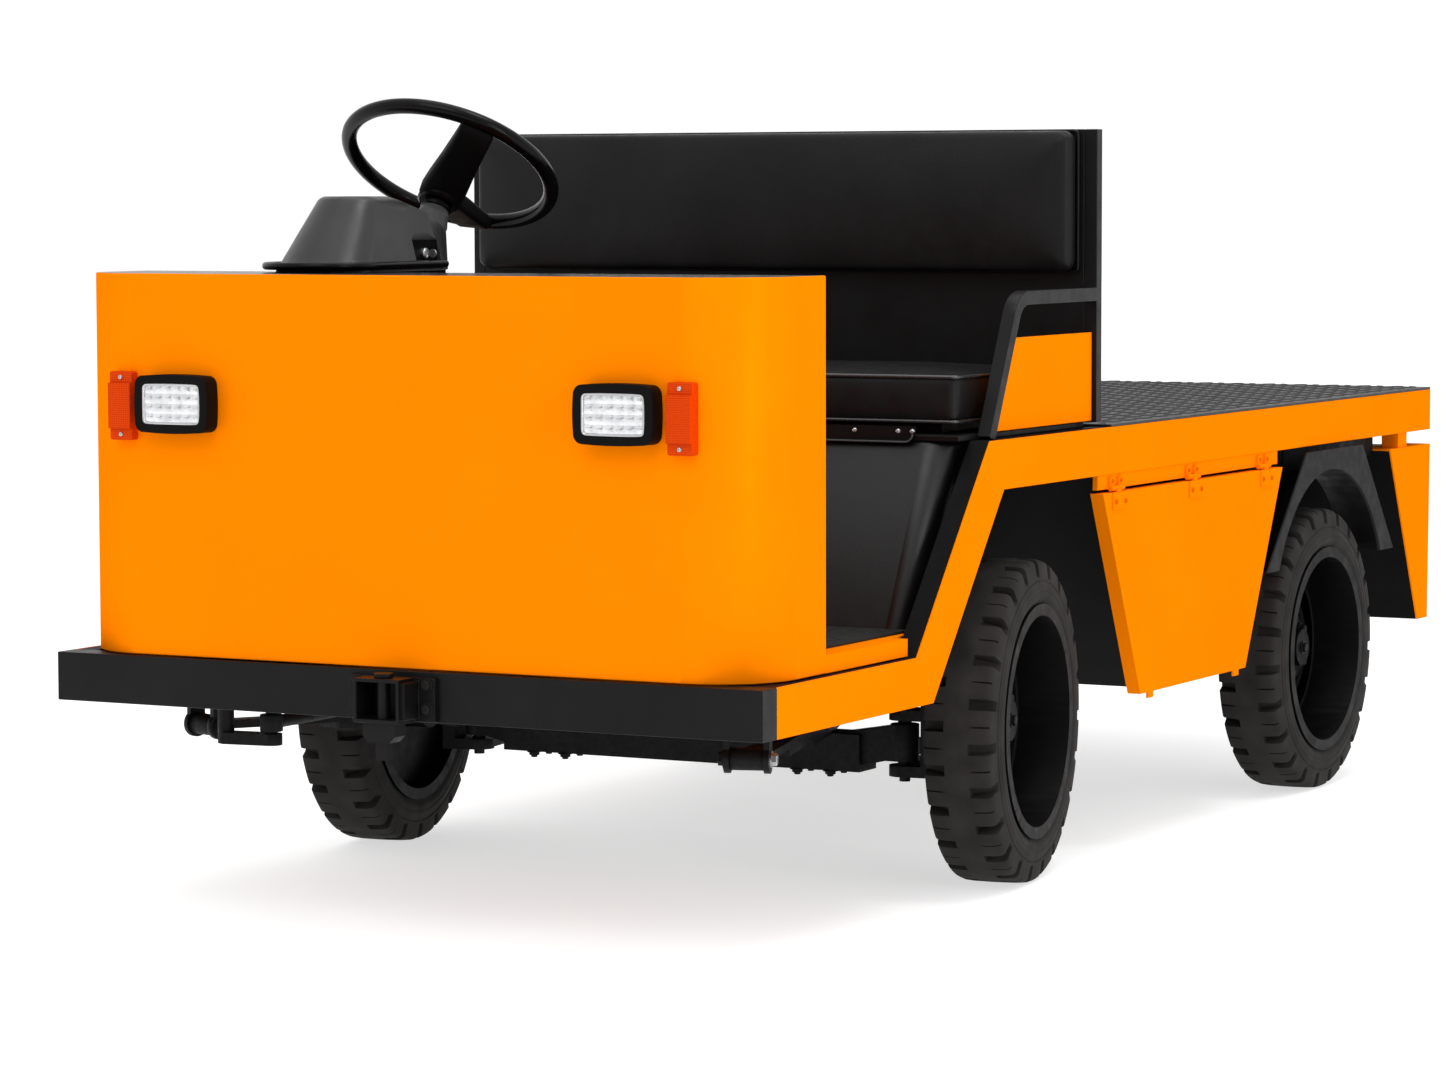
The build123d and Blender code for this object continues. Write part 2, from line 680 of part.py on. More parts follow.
def back_panel():
    """The board behind the cushion, from the seat base to the top."""
    panel_front = BACK_FRONT + BACK_T
    ends = (panel_front, panel_front + BACK_PANEL_T)
    return block(ends, (-ARM_IN, ARM_IN), (DECK_HEIGHT + SEAT_BASE_T, BACK_TOP))


def arm_rails():
    """A bent square tube on each side that runs up from the rail and back to a post."""
    post_front = BACK_FRONT + BACK_T
    ys = (ARM_IN, ARM_OUT)
    centre_top = ARM_TOP - ARM_TUBE / 2
    foot = (ARM_FOOT, DECK_HEIGHT)
    knee = (ARM_KNEE, centre_top)
    end = (post_front, centre_top)
    points = [(at(s), 0, z) for s, z in (foot, knee, end)]
    path = FilletPolyline(*points, radius=ARM_BEND)
    start_plane = Plane(origin=path @ 0, z_dir=path % 0, x_dir=(0, 1, 0))
    rail = sweep(start_plane * Rectangle(ARM_TUBE, ARM_TUBE), path=path)
    rail = Pos(0, (ys[0] + ys[1]) / 2, 0) * rail
    rail = rail - block((ARM_FOOT - ARM_TOP, ARM_FOOT + ARM_TOP), ys, (0, DECK_HEIGHT))
    rail += block((post_front, post_front + ARM_TUBE), ys, (DECK_HEIGHT + SEAT_BASE_T, BACK_TOP))
    return pair(rail)


def arm_panels():
    """The plate that fills the lower part of each arm loop."""
    slope = (ARM_KNEE - ARM_FOOT) / (ARM_TOP - ARM_TUBE / 2 - DECK_HEIGHT)
    low = DECK_HEIGHT + SEAT_BASE_T + ARM_PANEL_GAP
    clear = ARM_TUBE * 0.62
    outline = [
        (ARM_FOOT + clear + slope * (low - DECK_HEIGHT), low),
        (ARM_FOOT + clear + slope * (ARM_PANEL_TOP - DECK_HEIGHT), ARM_PANEL_TOP),
        (BACK_FRONT + BACK_T, ARM_PANEL_TOP),
        (BACK_FRONT + BACK_T, low),
    ]
    middle = ARM_OUT - ARM_TUBE / 2
    return pair(side_plate(outline, (middle, middle + ARM_PANEL_T)))


# Steering wheel, column and pod


def column_plane(distance):
    """A plane square to the column, at a distance up the column from the wheel's hub."""
    slope = radians(COLUMN_SLOPE)
    up = (-cos(slope), 0, sin(slope))
    origin = (at(HUB_STATION) + up[0] * distance, STEER_Y, HUB_HEIGHT + up[2] * distance)
    return Plane(origin=origin, x_dir=(0, 1, 0), z_dir=up)


def steering_column():
    """The column tube from the floor to the wheel's hub, with a boot where it leaves the pod."""
    drop = HUB_HEIGHT - PAN_TOP
    length = drop / sin(radians(COLUMN_SLOPE))
    start = STEER_HUB_LENGTH / 2 + HUB_GAP
    tube = column_plane(-start) * extrude(Circle(COLUMN_RADIUS), -2 * length)
    below = HUB_STATION - 2 * length
    tube -= block((below - length, HUB_STATION), (STEER_Y * 2, 0), (-HUB_HEIGHT, PAN_TOP))
    boot = column_plane(BOOT_LOW + BOOT_LENGTH / 2) * Cone(BOOT_RADII[0], BOOT_RADII[1], BOOT_LENGTH)
    return tube + (boot - pod_dome())


def steering_wheel():
    """A rim on two channel spokes that drop to a deep-set hub."""
    hub = column_plane(-STEER_HUB_LENGTH / 2) * extrude(Circle(STEER_HUB_RADIUS), STEER_HUB_LENGTH)
    body = column_plane(RIM_DISH) * Torus(RIM_RADIUS, RIM_TUBE)
    body += hub
    inner = STEER_HUB_RADIUS / 2
    web = [(inner, 0), (RIM_RADIUS, RIM_DISH), (RIM_RADIUS, RIM_DISH + SPOKE_T), (inner, SPOKE_T)]
    foot = RIM_RADIUS - RIM_TUBE
    rib = [
        (inner, -SPOKE_RIB_HEIGHT),
        (foot, RIM_DISH - SPOKE_RIB_HEIGHT),
        (RIM_RADIUS, RIM_DISH),
        (inner, SPOKE_T),
    ]
    rib_shift = (SPOKE_WIDTH - SPOKE_RIB_T) / 2
    for angle in SPOKE_ANGLES:
        spoke = extrude(SIDE_VIEW * make_face(Polyline(*web, close=True)), SPOKE_WIDTH / 2, both=True)
        wall = extrude(SIDE_VIEW * make_face(Polyline(*rib, close=True)), SPOKE_RIB_T / 2, both=True)
        for side in (1, -1):
            spoke += Pos(0, side * rib_shift, 0) * wall
        body += column_plane(0) * Rot(0, 0, angle) * spoke
    return body


def pod_plan(row):
    """One plan outline of the pod: a round front, straight sides and a narrowed rear."""
    lift, front, round_end, side_end, rear, half, rear_half = row
    nose = ThreePointArc((at(round_end), half), (at(front), 0), (at(round_end), -half))
    back = Polyline(
        (at(round_end), -half),
        (at(side_end), -half),
        (at(rear), -rear_half),
        (at(rear), rear_half),
        (at(side_end), half),
        (at(round_end), half),
    )
    return Pos(0, STEER_Y, COWL_TOP + lift) * make_face([nose, back])


def pod_dome():
    """The pod's raked dome, its top falling to the column."""
    dome = loft([pod_plan(row) for row in POD_PLAN], ruled=True)
    crown = dome.faces().sort_by(Axis.Z)[-1].edges().sort_by(Axis.X)[1:]
    dome = fillet(crown, POD_ROUND)
    top = COWL_TOP + POD_PLAN[-1][0]
    rear = POD_PLAN[0][4]
    above = top + POD_TAIL_DROP
    fall = [(POD_CREST, top), (rear, top - POD_TAIL_DROP), (rear, above), (POD_CREST, above)]
    return dome - side_plate(fall, (STEER_Y - POD_PLAN[0][5], STEER_Y + POD_PLAN[0][5]))


def steering_pod():
    """The domed housing where the column leaves the dash, with a brim and a sunk key panel."""
    lift, front, round_end, side_end, rear, half, rear_half = POD_PLAN[0]
    brim_low = COWL_TOP + BRIM_LIFT
    wide = half + BRIM_REACH / 2
    nose = ThreePointArc((at(round_end), wide), (at(front - BRIM_REACH), 0), (at(round_end), -wide))
    back = Polyline((at(round_end), -wide), (at(BRIM_END), -half), (at(BRIM_END), half), (at(round_end), wide))
    brim = Pos(0, STEER_Y, brim_low) * extrude(make_face([nose, back]), BRIM_T)
    body = pod_dome() + brim
    panel = (STEER_Y + half - KEY_PANEL_DEPTH, STEER_Y + 2 * half)
    body -= block(KEY_PANEL, panel, (COWL_TOP + KEY_PANEL_FOOT, COWL_TOP + KEY_PANEL_TOP))
    drop = HUB_HEIGHT - COWL_TOP
    return body - column_plane(0) * extrude(Circle(COLUMN_RADIUS + HUB_GAP), drop * 4, both=True)


# Lamps


def lamp_solid(margin, stations, radius):
    """A rounded block with bowed sides, on the left lamp's place."""
    half_y = LAMP_WIDTH / 2 - LAMP_SWELL - margin
    half_z = LAMP_TALL / 2 - LAMP_SWELL - margin
    corners = [(-half_y, -half_z), (half_y, -half_z), (half_y, half_z), (-half_y, half_z)]
    bow_y = half_y + LAMP_SWELL
    bow_z = half_z + LAMP_SWELL
    swells = [(0, -bow_z), (bow_y, 0), (0, bow_z), (-bow_y, 0)]
    sides = [ThreePointArc(corners[i], swells[i], corners[(i + 1) % 4]) for i in range(4)]
    face = Plane.YZ * make_face(sides)
    body = Pos(at(stations[1]), LAMP_Y, LAMP_HEIGHT) * extrude(face, stations[1] - stations[0], dir=(1, 0, 0))
    return fillet(body.edges().filter_by(Axis.X), radius)


def headlamp_bezels():
    """A deep frame with bowed sides round each lens."""
    front = COWL_FRONT - LAMP_DEPTH
    body = lamp_solid(0, (front, COWL_FRONT), LAMP_RADIUS)
    return pair(body - lamp_solid(LENS_MARGIN, (front, front + 2 * LENS_INSET), LENS_RADIUS))


def headlamp_lenses():
    front = COWL_FRONT - LAMP_DEPTH
    return pair(lamp_solid(LENS_MARGIN, (front + LENS_INSET, front + 2 * LENS_INSET), LENS_RADIUS))


def signal_lamps():
    """A base with a screw lug at each end and a raised lens, seated on the cowl's curve."""
    ys = (SIGNAL_Y - SIGNAL_WIDTH / 2, SIGNAL_Y + SIGNAL_WIDTH / 2)
    front = COWL_FRONT - SIGNAL_DEPTH
    heights = (SIGNAL_HEIGHT - SIGNAL_TALL / 2, SIGNAL_HEIGHT + SIGNAL_TALL / 2)
    lens = (SIGNAL_HEIGHT - SIGNAL_LENS_TALL / 2, SIGNAL_HEIGHT + SIGNAL_LENS_TALL / 2)
    body = block((front + SIGNAL_STEP, COWL_FRONT + SHEET), ys, heights)
    body = fillet(body.edges().filter_by(Axis.X), SIGNAL_RADIUS)
    body += block((front, front + 2 * SIGNAL_STEP), ys, lens)
    return pair(body - extrude(cowl_plan(0, COWL_REAR), COWL_TOP))


def pedals():
    """Two treadles that lean forward from the floor."""
    solids = []
    for middle, width in PEDALS:
        ys = (STEER_Y + middle - width / 2, STEER_Y + middle + width / 2)
        outline = [
            (PEDAL_FOOT + PEDAL_REACH, PAN_TOP),
            (PEDAL_FOOT, PAN_TOP + PEDAL_RISE),
            (PEDAL_FOOT - PEDAL_T, PAN_TOP + PEDAL_RISE),
            (PEDAL_FOOT + PEDAL_REACH - 2 * PEDAL_T, PAN_TOP),
        ]
        solids.extend(side_plate(outline, ys).solids())
    return Compound(solids)


# Battery tray, battery and side doors


def trapezoid(head, foot, top, bottom):
    return [(head[0], top), (head[1], top), (foot[1], bottom), (foot[0], bottom)]


def battery_tray():
    """A trough under the deck, open to both sides."""
    outer = trapezoid(TRAY_TOP, TRAY_FOOT, RAIL_BOTTOM, TRAY_BOTTOM)
    inner_top = (TRAY_TOP[0] + TRAY_WALL, TRAY_TOP[1] - TRAY_WALL)
    inner_foot = (TRAY_FOOT[0] + TRAY_WALL, TRAY_FOOT[1] - TRAY_WALL)
    inner = trapezoid(inner_top, inner_foot, RAIL_BOTTOM, TRAY_BOTTOM + TRAY_WALL)
    ys = (-TRAY_HALF, TRAY_HALF)
    return side_plate(outer, ys) - side_plate(inner, ys)


def battery():
    low = TRAY_BOTTOM + TRAY_WALL
    ends = (TRAY_FOOT[0] + TRAY_WALL + BATTERY_GAP, TRAY_FOOT[1] - TRAY_WALL - BATTERY_GAP)
    return block(ends, (-BATTERY_HALF, BATTERY_HALF), (low, low + BATTERY_HEIGHT))


def door_headers():
    """The strip under each bed rail with the fixed halves of the door hinges."""
    face = HALF - HINGE_STAND
    strip = block(DOOR_HEAD, (face - HEADER_T, face), (HEADER_BOTTOM, RAIL_BOTTOM))
    for station in HINGE_STATIONS:
        for end in (-1, 1):
            inner = station + end * (HINGE_KNUCKLE + HINGE_PLAY)
            outer = station + end * HINGE_HALF
            ends = (min(inner, outer), max(inner, outer))
            strip += block(ends, (face, HINGE_Y), (HINGE_HEIGHT, RAIL_BOTTOM - HINGE_RADIUS))
            strip += along(ends, HINGE_Y, HINGE_HEIGHT, HINGE_RADIUS)
        reach = (station - HINGE_HALF, station + HINGE_HALF)
        strip -= along(reach, HINGE_Y, HINGE_HEIGHT, HINGE_PIN + RUNNING_FIT)
        middle = (station - HINGE_KNUCKLE - HINGE_PLAY, station + HINGE_KNUCKLE + HINGE_PLAY)
        strip -= along(middle, HINGE_Y, HINGE_HEIGHT, HINGE_RADIUS + HINGE_PLAY)
    return pair(strip)


def along(stations, y, height, radius):
    """A cylinder along X."""
    length = stations[1] - stations[0]
    return Pos(at(sum(stations) / 2), y, height) * Rot(0, 90, 0) * Cylinder(radius, length)


def door_left():
    """A shallow tray door, hung from its top edge."""
    face = HALF + DOOR_STAND
    back = face - SHEET - DOOR_RETURN
    outer = trapezoid(DOOR_HEAD, DOOR_FOOT, DOOR_TOP, DOOR_BOTTOM)
    head = (DOOR_HEAD[0] + SHEET, DOOR_HEAD[1] - SHEET)
    foot = (DOOR_FOOT[0] + SHEET, DOOR_FOOT[1] - SHEET)
    inner = trapezoid(head, foot, DOOR_TOP - SHEET, DOOR_BOTTOM + SHEET)
    body = side_plate(outer, (back, face)) - side_plate(inner, (back, face - SHEET))
    for station in HINGE_STATIONS:
        knuckle = (station - HINGE_KNUCKLE, station + HINGE_KNUCKLE)
        body += along(knuckle, HINGE_Y, HINGE_HEIGHT, HINGE_RADIUS)
        body += block(knuckle, (HINGE_Y, face), (DOOR_TOP - HINGE_KNUCKLE, HINGE_HEIGHT))
        reach = (station - HINGE_HALF, station + HINGE_HALF)
        body += along(reach, HINGE_Y, HINGE_HEIGHT, HINGE_PIN)
        plate = (station - LEAF_PLATE_WIDTH / 2, station + LEAF_PLATE_WIDTH / 2)
        body += block(plate, (face, face + LEAF_PLATE_T), (DOOR_TOP - LEAF_PLATE_TALL, DOOR_TOP))
    for latch in (DOOR_FOOT[0] + LATCH_INSET, DOOR_FOOT[1] - LATCH_INSET):
        ends = (latch - LATCH_WIDTH / 2, latch + LATCH_WIDTH / 2)
        body += block(ends, (face - SHEET, face), (DOOR_BOTTOM - LATCH_DROP, DOOR_BOTTOM))
    return body


# Rear arches and guards


def arch_flares():
    """A plate with a round arch, a lip behind the arch and a flange up to the bed frame."""
    outline = [
        (FLARE_FRONT[0], FLARE_FOOT),
        (FLARE_FRONT[1], FLARE_TOP),
        (FLARE_REAR[0], FLARE_TOP),
        (FLARE_REAR[1], FLARE_FOOT),
    ]
    inner = FLARE_FACE - FLARE_LIP
    plate = side_plate(outline, (FLARE_FACE - FLARE_T, FLARE_FACE))
    lip = crosswise(FLARE_CENTRE[0], FLARE_CENTRE[1], FLARE_RADIUS + FLARE_T, (inner, FLARE_FACE - FLARE_T))
    lip -= block((0, DECK_END), (0, HALF * 2), (0, FLARE_FOOT))
    body = plate + lip
    body -= crosswise(FLARE_CENTRE[0], FLARE_CENTRE[1], FLARE_RADIUS, (0, HALF * 2))
    tab = (FLARE_FRONT[1], FLARE_REAR[0])
    crown = FLARE_CENTRE[1] + FLARE_RADIUS
    tie = block(tab, (FRAME_IN, FRAME_IN + FLARE_T), (crown, RAIL_BOTTOM))
    tie -= crosswise(FLARE_CENTRE[0], FLARE_CENTRE[1], FLARE_RADIUS + FLARE_T / 2, (0, HALF * 2))
    return pair(body + tie)


def rear_guards():
    """The painted skin behind each rear wheel, with a top lip and a lug up to the bed rail."""
    outline = trapezoid(GUARD_HEAD, GUARD_FOOT, GUARD_TOP, GUARD_BOTTOM)
    body = side_plate(outline, (HALF - GUARD_SKIN, HALF))
    body += block(GUARD_HEAD, (HALF - GUARD_LIP, HALF), (GUARD_TOP - GUARD_SKIN, GUARD_TOP))
    body += block(GUARD_LUG, (FRAME_IN, FRAME_OUT), (GUARD_TOP, RAIL_BOTTOM))
    return pair(body)


def guard_linings():
    """The dark wedge inside each guard, under the lip."""
    outline = trapezoid(GUARD_HEAD, GUARD_FOOT, GUARD_TOP, GUARD_BOTTOM)
    body = side_plate(outline, (HALF - GUARD_DEPTH, HALF - GUARD_SKIN))
    return pair(body - block((0, DECK_END), (0, HALF), (GUARD_TOP - GUARD_SKIN, GUARD_TOP)))


# Wheels


def wheel_place(station, y, outward):
    """The wheel's own frame: its Y axis is the axle, pointing out of the truck."""
    turn = 0 if outward > 0 else 180
    return Pos(at(station), y, TYRE_RADIUS) * Rot(0, 0, turn)


def tyre_ring(apothem, y):
    """The corners of the tyre's many-sided outline at a place along the axle, one side flat on the floor."""
    step = 360 / TREAD_SIDES
    corner = apothem / cos(radians(step / 2))
    angles = [radians(step * (index + 0.5) - 90) for index in range(TREAD_SIDES)]
    return [(corner * cos(a), y, corner * sin(a)) for a in angles]


def lug_slots():
    """The open slots that part the lugs, staggered on the two shoulders."""
    half = TYRE_WIDTH / 2
    start = TREAD_WIDTH / 2 - LUG_SLOT_LENGTH
    above = TYRE_RADIUS + LUG_SLOT_DEPTH
    slots = []
    for side in (1, -1):
        points = [
            (0, side * start, TYRE_RADIUS - LUG_SLOT_DEPTH),
            (0, side * half, TYRE_RADIUS - LUG_SLOT_FOOT),
            (0, side * half, above),
            (0, side * start, above),
        ]
        slot = extrude(make_face(Polyline(*points, close=True)), LUG_SLOT_WIDTH / 2, dir=(1, 0, 0), both=True)
        first = 0 if side > 0 else 1
        slots.extend(Rot(0, 360 / TREAD_SIDES * index, 0) * slot for index in range(first, TREAD_SIDES, 2))
    return slots


def tyre():
    """A tyre with a smooth tread band between lugged shoulders, as flat sides round the axle."""
    half = TYRE_WIDTH / 2
    tread = TREAD_WIDTH / 2
    bead = BEAD_WIDTH / 2
    profile = (
        (BEAD_RADIUS, -bead),
        (SIDEWALL_RADIUS, -half),
        (TYRE_RADIUS, -tread),
        (TYRE_RADIUS, tread),
        (SIDEWALL_RADIUS, half),
        (BEAD_RADIUS, bead),
    )
    rings = [tyre_ring(radius, y) for radius, y in profile]
    faces = []
    for ring, following in zip(rings, rings[1:] + rings[:1]):
        for first in range(TREAD_SIDES):
            second = (first + 1) % TREAD_SIDES
            corners = (ring[first], ring[second], following[second], following[first])
            faces.append(Face(Wire.make_polygon(corners)))
    return Part() + Solid(Shell(faces)) - lug_slots()


def rim():
    """Barrel with flanges, a deep-set disc, a hub and its cap, as one turned piece."""
    half = BEAD_WIDTH / 2
    slope = (TYRE_WIDTH - BEAD_WIDTH) / 2 / (SIDEWALL_RADIUS - BEAD_RADIUS)
    flange = half + (FLANGE_RADIUS - BEAD_RADIUS) * slope
    lip = flange + FLANGE_T
    disc = (DISC_OFFSET - DISC_T / 2, DISC_OFFSET + DISC_T / 2)
    bore = SPINDLE_RADIUS + RUNNING_FIT
    inner = BEAD_RADIUS - RIM_WALL
    points = [
        (bore, HUB_INNER),
        (HUB_RADIUS, HUB_INNER),
        (HUB_RADIUS, disc[0]),
        (inner, disc[0]),
        (inner, -lip),
        (FLANGE_RADIUS, -lip),
        (FLANGE_RADIUS, -flange),
        (BEAD_RADIUS, -half),
        (BEAD_RADIUS, half),
        (FLANGE_RADIUS, flange),
        (FLANGE_RADIUS, lip),
        (inner, lip),
        (inner, disc[1]),
        (HUB_RADIUS, disc[1]),
        (HUB_RADIUS, HUB_OUTER),
        (CAP_RADIUS, HUB_OUTER),
        (CAP_RADIUS, CAP_OUTER),
        (0, CAP_OUTER),
        (0, HUB_OUTER),
        (bore, HUB_OUTER),
    ]
    return revolve(make_face(Polyline(*[(r, y, 0) for r, y in points], close=True)), axis=Axis.Y)


# Axles and springs


def front_axle():
    """A dropped beam with a bored boss for each kingpin."""
    beam_top = BEAM_BOTTOM + BEAM_HEIGHT
    ends = (FRONT_AXLE - BEAM_DEPTH / 2, FRONT_AXLE + BEAM_DEPTH / 2)
    body = block(ends, (-BEAM_HALF, BEAM_HALF), (BEAM_BOTTOM, beam_top))
    neck_root = BEAM_HALF - MEMBER
    neck_end = KINGPIN_Y - EAR_RADIUS
    for side in (1, -1):
        outline = [
            (neck_root, BEAM_BOTTOM),
            (neck_end, BOSS_BOTTOM),
            (KINGPIN_Y, BOSS_BOTTOM),
            (KINGPIN_Y, BOSS_TOP),
            (neck_root, beam_top),
        ]
        face = make_face(Polyline(*[(at(FRONT_AXLE), side * y, z) for y, z in outline], close=True))
        body += extrude(face, NECK_DEPTH / 2, dir=(1, 0, 0), both=True)
        body += upright(FRONT_AXLE, side * KINGPIN_Y, BOSS_RADIUS, (BOSS_BOTTOM, BOSS_TOP))
    for side in (1, -1):
        bore = KINGPIN_RADIUS + RUNNING_FIT
        body -= upright(FRONT_AXLE, side * KINGPIN_Y, bore, (BOSS_BOTTOM, BOSS_TOP))
    return body


def leaf_half(end, thickness):
    """Half a leaf in its own plane: an arc that leaves the seat level and rises to its end."""
    top = thickness / 2
    way = 1 if end[0] > 0 else -1
    upper = TangentArc((0, top), (end[0], end[1] + top), tangent=(way, 0))
    lower = TangentArc((0, -top), (end[0], end[1] - top), tangent=(way, 0))
    sides = [Line(upper @ 0, lower @ 0), Line(upper @ 1, lower @ 1)]
    return make_face([upper, lower, *sides])


def spring(front, rear, seat_height):
    """A leaf spring in its own frame: X forward, its lowest leaf resting on the seat."""
    body = None
    for index in range(LEAF_COUNT):
        share = 1 - index / LEAF_COUNT
        short_front = (front[0] * share, front[1] * share**2)
        short_rear = (rear[0] * share, rear[1] * share**2)
        lift = (LEAF_COUNT - index - 0.5) * LEAF_T
        for end in (short_front, short_rear):
            face = Pos(0, 0, lift) * (SIDE_VIEW * leaf_half(end, LEAF_T))
            half = extrude(face, LEAF_WIDTH / 2, dir=(0, 1, 0), both=True)
            body = half if body is None else body + half
    top = (LEAF_COUNT - 0.5) * LEAF_T
    for end in (front, rear):
        eye = Pos(end[0], 0, end[1] + top) * Rot(90, 0, 0) * Cylinder(SPRING_EYE_RADIUS, LEAF_WIDTH)
        body += eye
    return Pos(0, 0, seat_height) * body


def leaf_springs():
    """Two splayed front springs and two straight rear springs."""
    top = (LEAF_COUNT - 0.5) * LEAF_T
    seat = BEAM_BOTTOM + BEAM_HEIGHT
    stretch = 1 / cos(radians(spring_splay()))
    front = ((FRONT_AXLE - FRONT_EYE[0]) * stretch, FRONT_EYE[2] - seat - top)
    rear = ((FRONT_AXLE - FRONT_SHACKLE) * stretch, FRONT_SHACKLE_HEIGHT - seat - top)
    ahead = front_spring_frame() * spring(front, rear, seat)
    axle_top = TYRE_RADIUS + AXLE_TUBE
    eye = REAR_EYE_HEIGHT - axle_top - top
    behind = spring((REAR_SPRING_HALF, eye), (-REAR_SPRING_HALF, eye), axle_top)
    behind = Pos(at(REAR_AXLE), REAR_SPRING_Y, 0) * behind
    return Compound([*pair(ahead).solids(), *pair(behind).solids()])


def rear_axle():
    """Axle tube, differential casing, brake backs and the spindles for the wheels."""
    hub_face = WHEEL_Y + HUB_INNER
    spindle_end = WHEEL_Y + HUB_OUTER - HUB_SPACE
    body = crosswise(REAR_AXLE, TYRE_RADIUS, AXLE_TUBE, (-DRUM_FACE, DRUM_FACE))
    body += crosswise(REAR_AXLE, TYRE_RADIUS, GEARBOX_RADIUS, (-GEARBOX_HALF, GEARBOX_HALF))
    for side in (1, -1):
        drum = (side * (hub_face - HUB_SPACE - DRUM_T), side * (hub_face - HUB_SPACE))
        body += crosswise(REAR_AXLE, TYRE_RADIUS, DRUM_RADIUS, drum)
        spindle = (side * (DRUM_FACE - DRUM_T), side * spindle_end)
        body += crosswise(REAR_AXLE, TYRE_RADIUS, SPINDLE_RADIUS, spindle)
    return body


def drive_motor():
    """The motor ahead of the differential, a plain drum."""
    rear = REAR_AXLE - GEARBOX_RADIUS
    ends = (rear - MOTOR_LENGTH, REAR_AXLE)
    body = along(ends, 0, TYRE_RADIUS + MEMBER, MOTOR_RADIUS)
    casing = crosswise(REAR_AXLE, TYRE_RADIUS, GEARBOX_RADIUS, (-HALF, HALF))
    return body - casing


# Steering linkage


def knuckle(side):
    """Kingpin with two ears, a web, the wheel's spindle and the tie-rod arm, drawn straight ahead."""
    y = side * KINGPIN_Y
    web = (side * (KINGPIN_Y + WEB_INNER), side * (KINGPIN_Y + WEB_INNER + WEB_T))
    ends = (FRONT_AXLE - EAR_RADIUS, FRONT_AXLE + EAR_RADIUS)
    body = upright(FRONT_AXLE, y, KINGPIN_RADIUS, (LOW_EAR, TOP_EAR + EAR_T))
    for low in (LOW_EAR, TOP_EAR):
        body += upright(FRONT_AXLE, y, EAR_RADIUS, (low, low + EAR_T))
        body += block(ends, (y, web[1]), (low, low + EAR_T))
    body += block(ends, web, (LOW_EAR, WEB_TOP))
    cap = upright(FRONT_AXLE, y, KINGPIN_CAP, (TOP_EAR + EAR_T, TOP_EAR + EAR_T + KINGPIN_CAP))
    body += fillet(cap.edges().sort_by(Axis.Z)[-1:], KINGPIN_CAP_ROUND)
    body += upright(FRONT_AXLE, y, STUD_RADIUS, (LOW_EAR - STUD_RADIUS, LOW_EAR))
    spindle = (web[0], side * (WHEEL_Y + HUB_OUTER - HUB_SPACE))
    body += crosswise(FRONT_AXLE, TYRE_RADIUS, SPINDLE_RADIUS, spindle)
    body += arm((FRONT_AXLE, y), (FRONT_AXLE + TIE_ARM, y), LOW_EAR)
    if side < 0:
        body += arm((FRONT_AXLE, y), (FRONT_AXLE, y + DRAG_ARM), TOP_EAR)
    return body


def arm(start, end, low):
    """A flat arm with a round end and an upright ball stud."""
    top = low + EAR_T
    half = ARM_WIDTH / 2
    if start[1] == end[1]:
        bar = block((start[0], end[0]), (start[1] - half, start[1] + half), (low, top))
    else:
        bar = block((start[0] - half, start[0] + half), (start[1], end[1]), (low, top))
    bar += upright(end[0], end[1], half, (low, top))
    bar += upright(end[0], end[1], STUD_RADIUS, (top, top + STUD_HEIGHT))
    return bar


def steered(shape, side):
    """Turn a piece about its kingpin to the angle the truck is parked at."""
    pin = Pos(at(FRONT_AXLE), side * KINGPIN_Y, 0)
    return pin * Rot(0, 0, PARKED_STEER) * pin.inverse() * shape


def arm_shift(reach, sideways):
    """How far an arm's end moves when the wheels turn from straight ahead to the parked angle."""
    angle = radians(PARKED_STEER)
    if sideways:
        return Pos(-reach * sin(angle), reach * (cos(angle) - 1), 0)
    return Pos(reach * (1 - cos(angle)), -reach * sin(angle), 0)


def rod(points, radius, height):
    """A rod with an eye at each end, between two (station, y) points."""
    start, end = points
    low = height - EYE_HEIGHT / 2
    high = height + EYE_HEIGHT / 2
    if start[0] == end[0]:
        body = crosswise(start[0], height, radius, (start[1], end[1]))
    else:
        body = along((start[0], end[0]), start[1], height, radius)
    for station, y in points:
        body += upright(station, y, EYE_RADIUS, (low, high))
    for station, y in points:
        body -= upright(station, y, STUD_RADIUS + RUNNING_FIT, (low, high))
    return body


def tie_rod():
    station = FRONT_AXLE + TIE_ARM
    height = LOW_EAR + EAR_T + EYE_LIFT + EYE_HEIGHT / 2
    straight = rod(((station, -KINGPIN_Y), (station, KINGPIN_Y)), TIE_RADIUS, height)
    return arm_shift(TIE_ARM, False) * straight


def drag_link():
    y = DRAG_ARM - KINGPIN_Y
    height = TOP_EAR + EAR_T + EYE_LIFT + EYE_HEIGHT / 2
    straight = rod(((PITMAN_STATION, y), (FRONT_AXLE, y)), DRAG_RADIUS, height)
    return arm_shift(DRAG_ARM, True) * straight


def pitman_arm():
    y = -KINGPIN_Y
    body = upright(PITMAN_STATION, y, EAR_RADIUS / 2, (TOP_EAR, SILL_BOTTOM - HANGER_GAP))
    body += upright(PITMAN_STATION, y, PITMAN_SHAFT, (SILL_BOTTOM - HANGER_GAP, SILL_BOTTOM + MEMBER))
    body += arm((PITMAN_STATION, y), (PITMAN_STATION, y + DRAG_ARM), TOP_EAR)
    pin = Pos(at(PITMAN_STATION), y, 0)
    return pin * Rot(0, 0, PARKED_STEER) * pin.inverse() * body


def steering_box():
    body = block(STEER_BOX, STEER_BOX_Y, (SILL_BOTTOM, SILL_TOP))
    bore = PITMAN_SHAFT + RUNNING_FIT
    return body - upright(PITMAN_STATION, -KINGPIN_Y, bore, (SILL_BOTTOM, SILL_BOTTOM + MEMBER + HANGER_GAP))


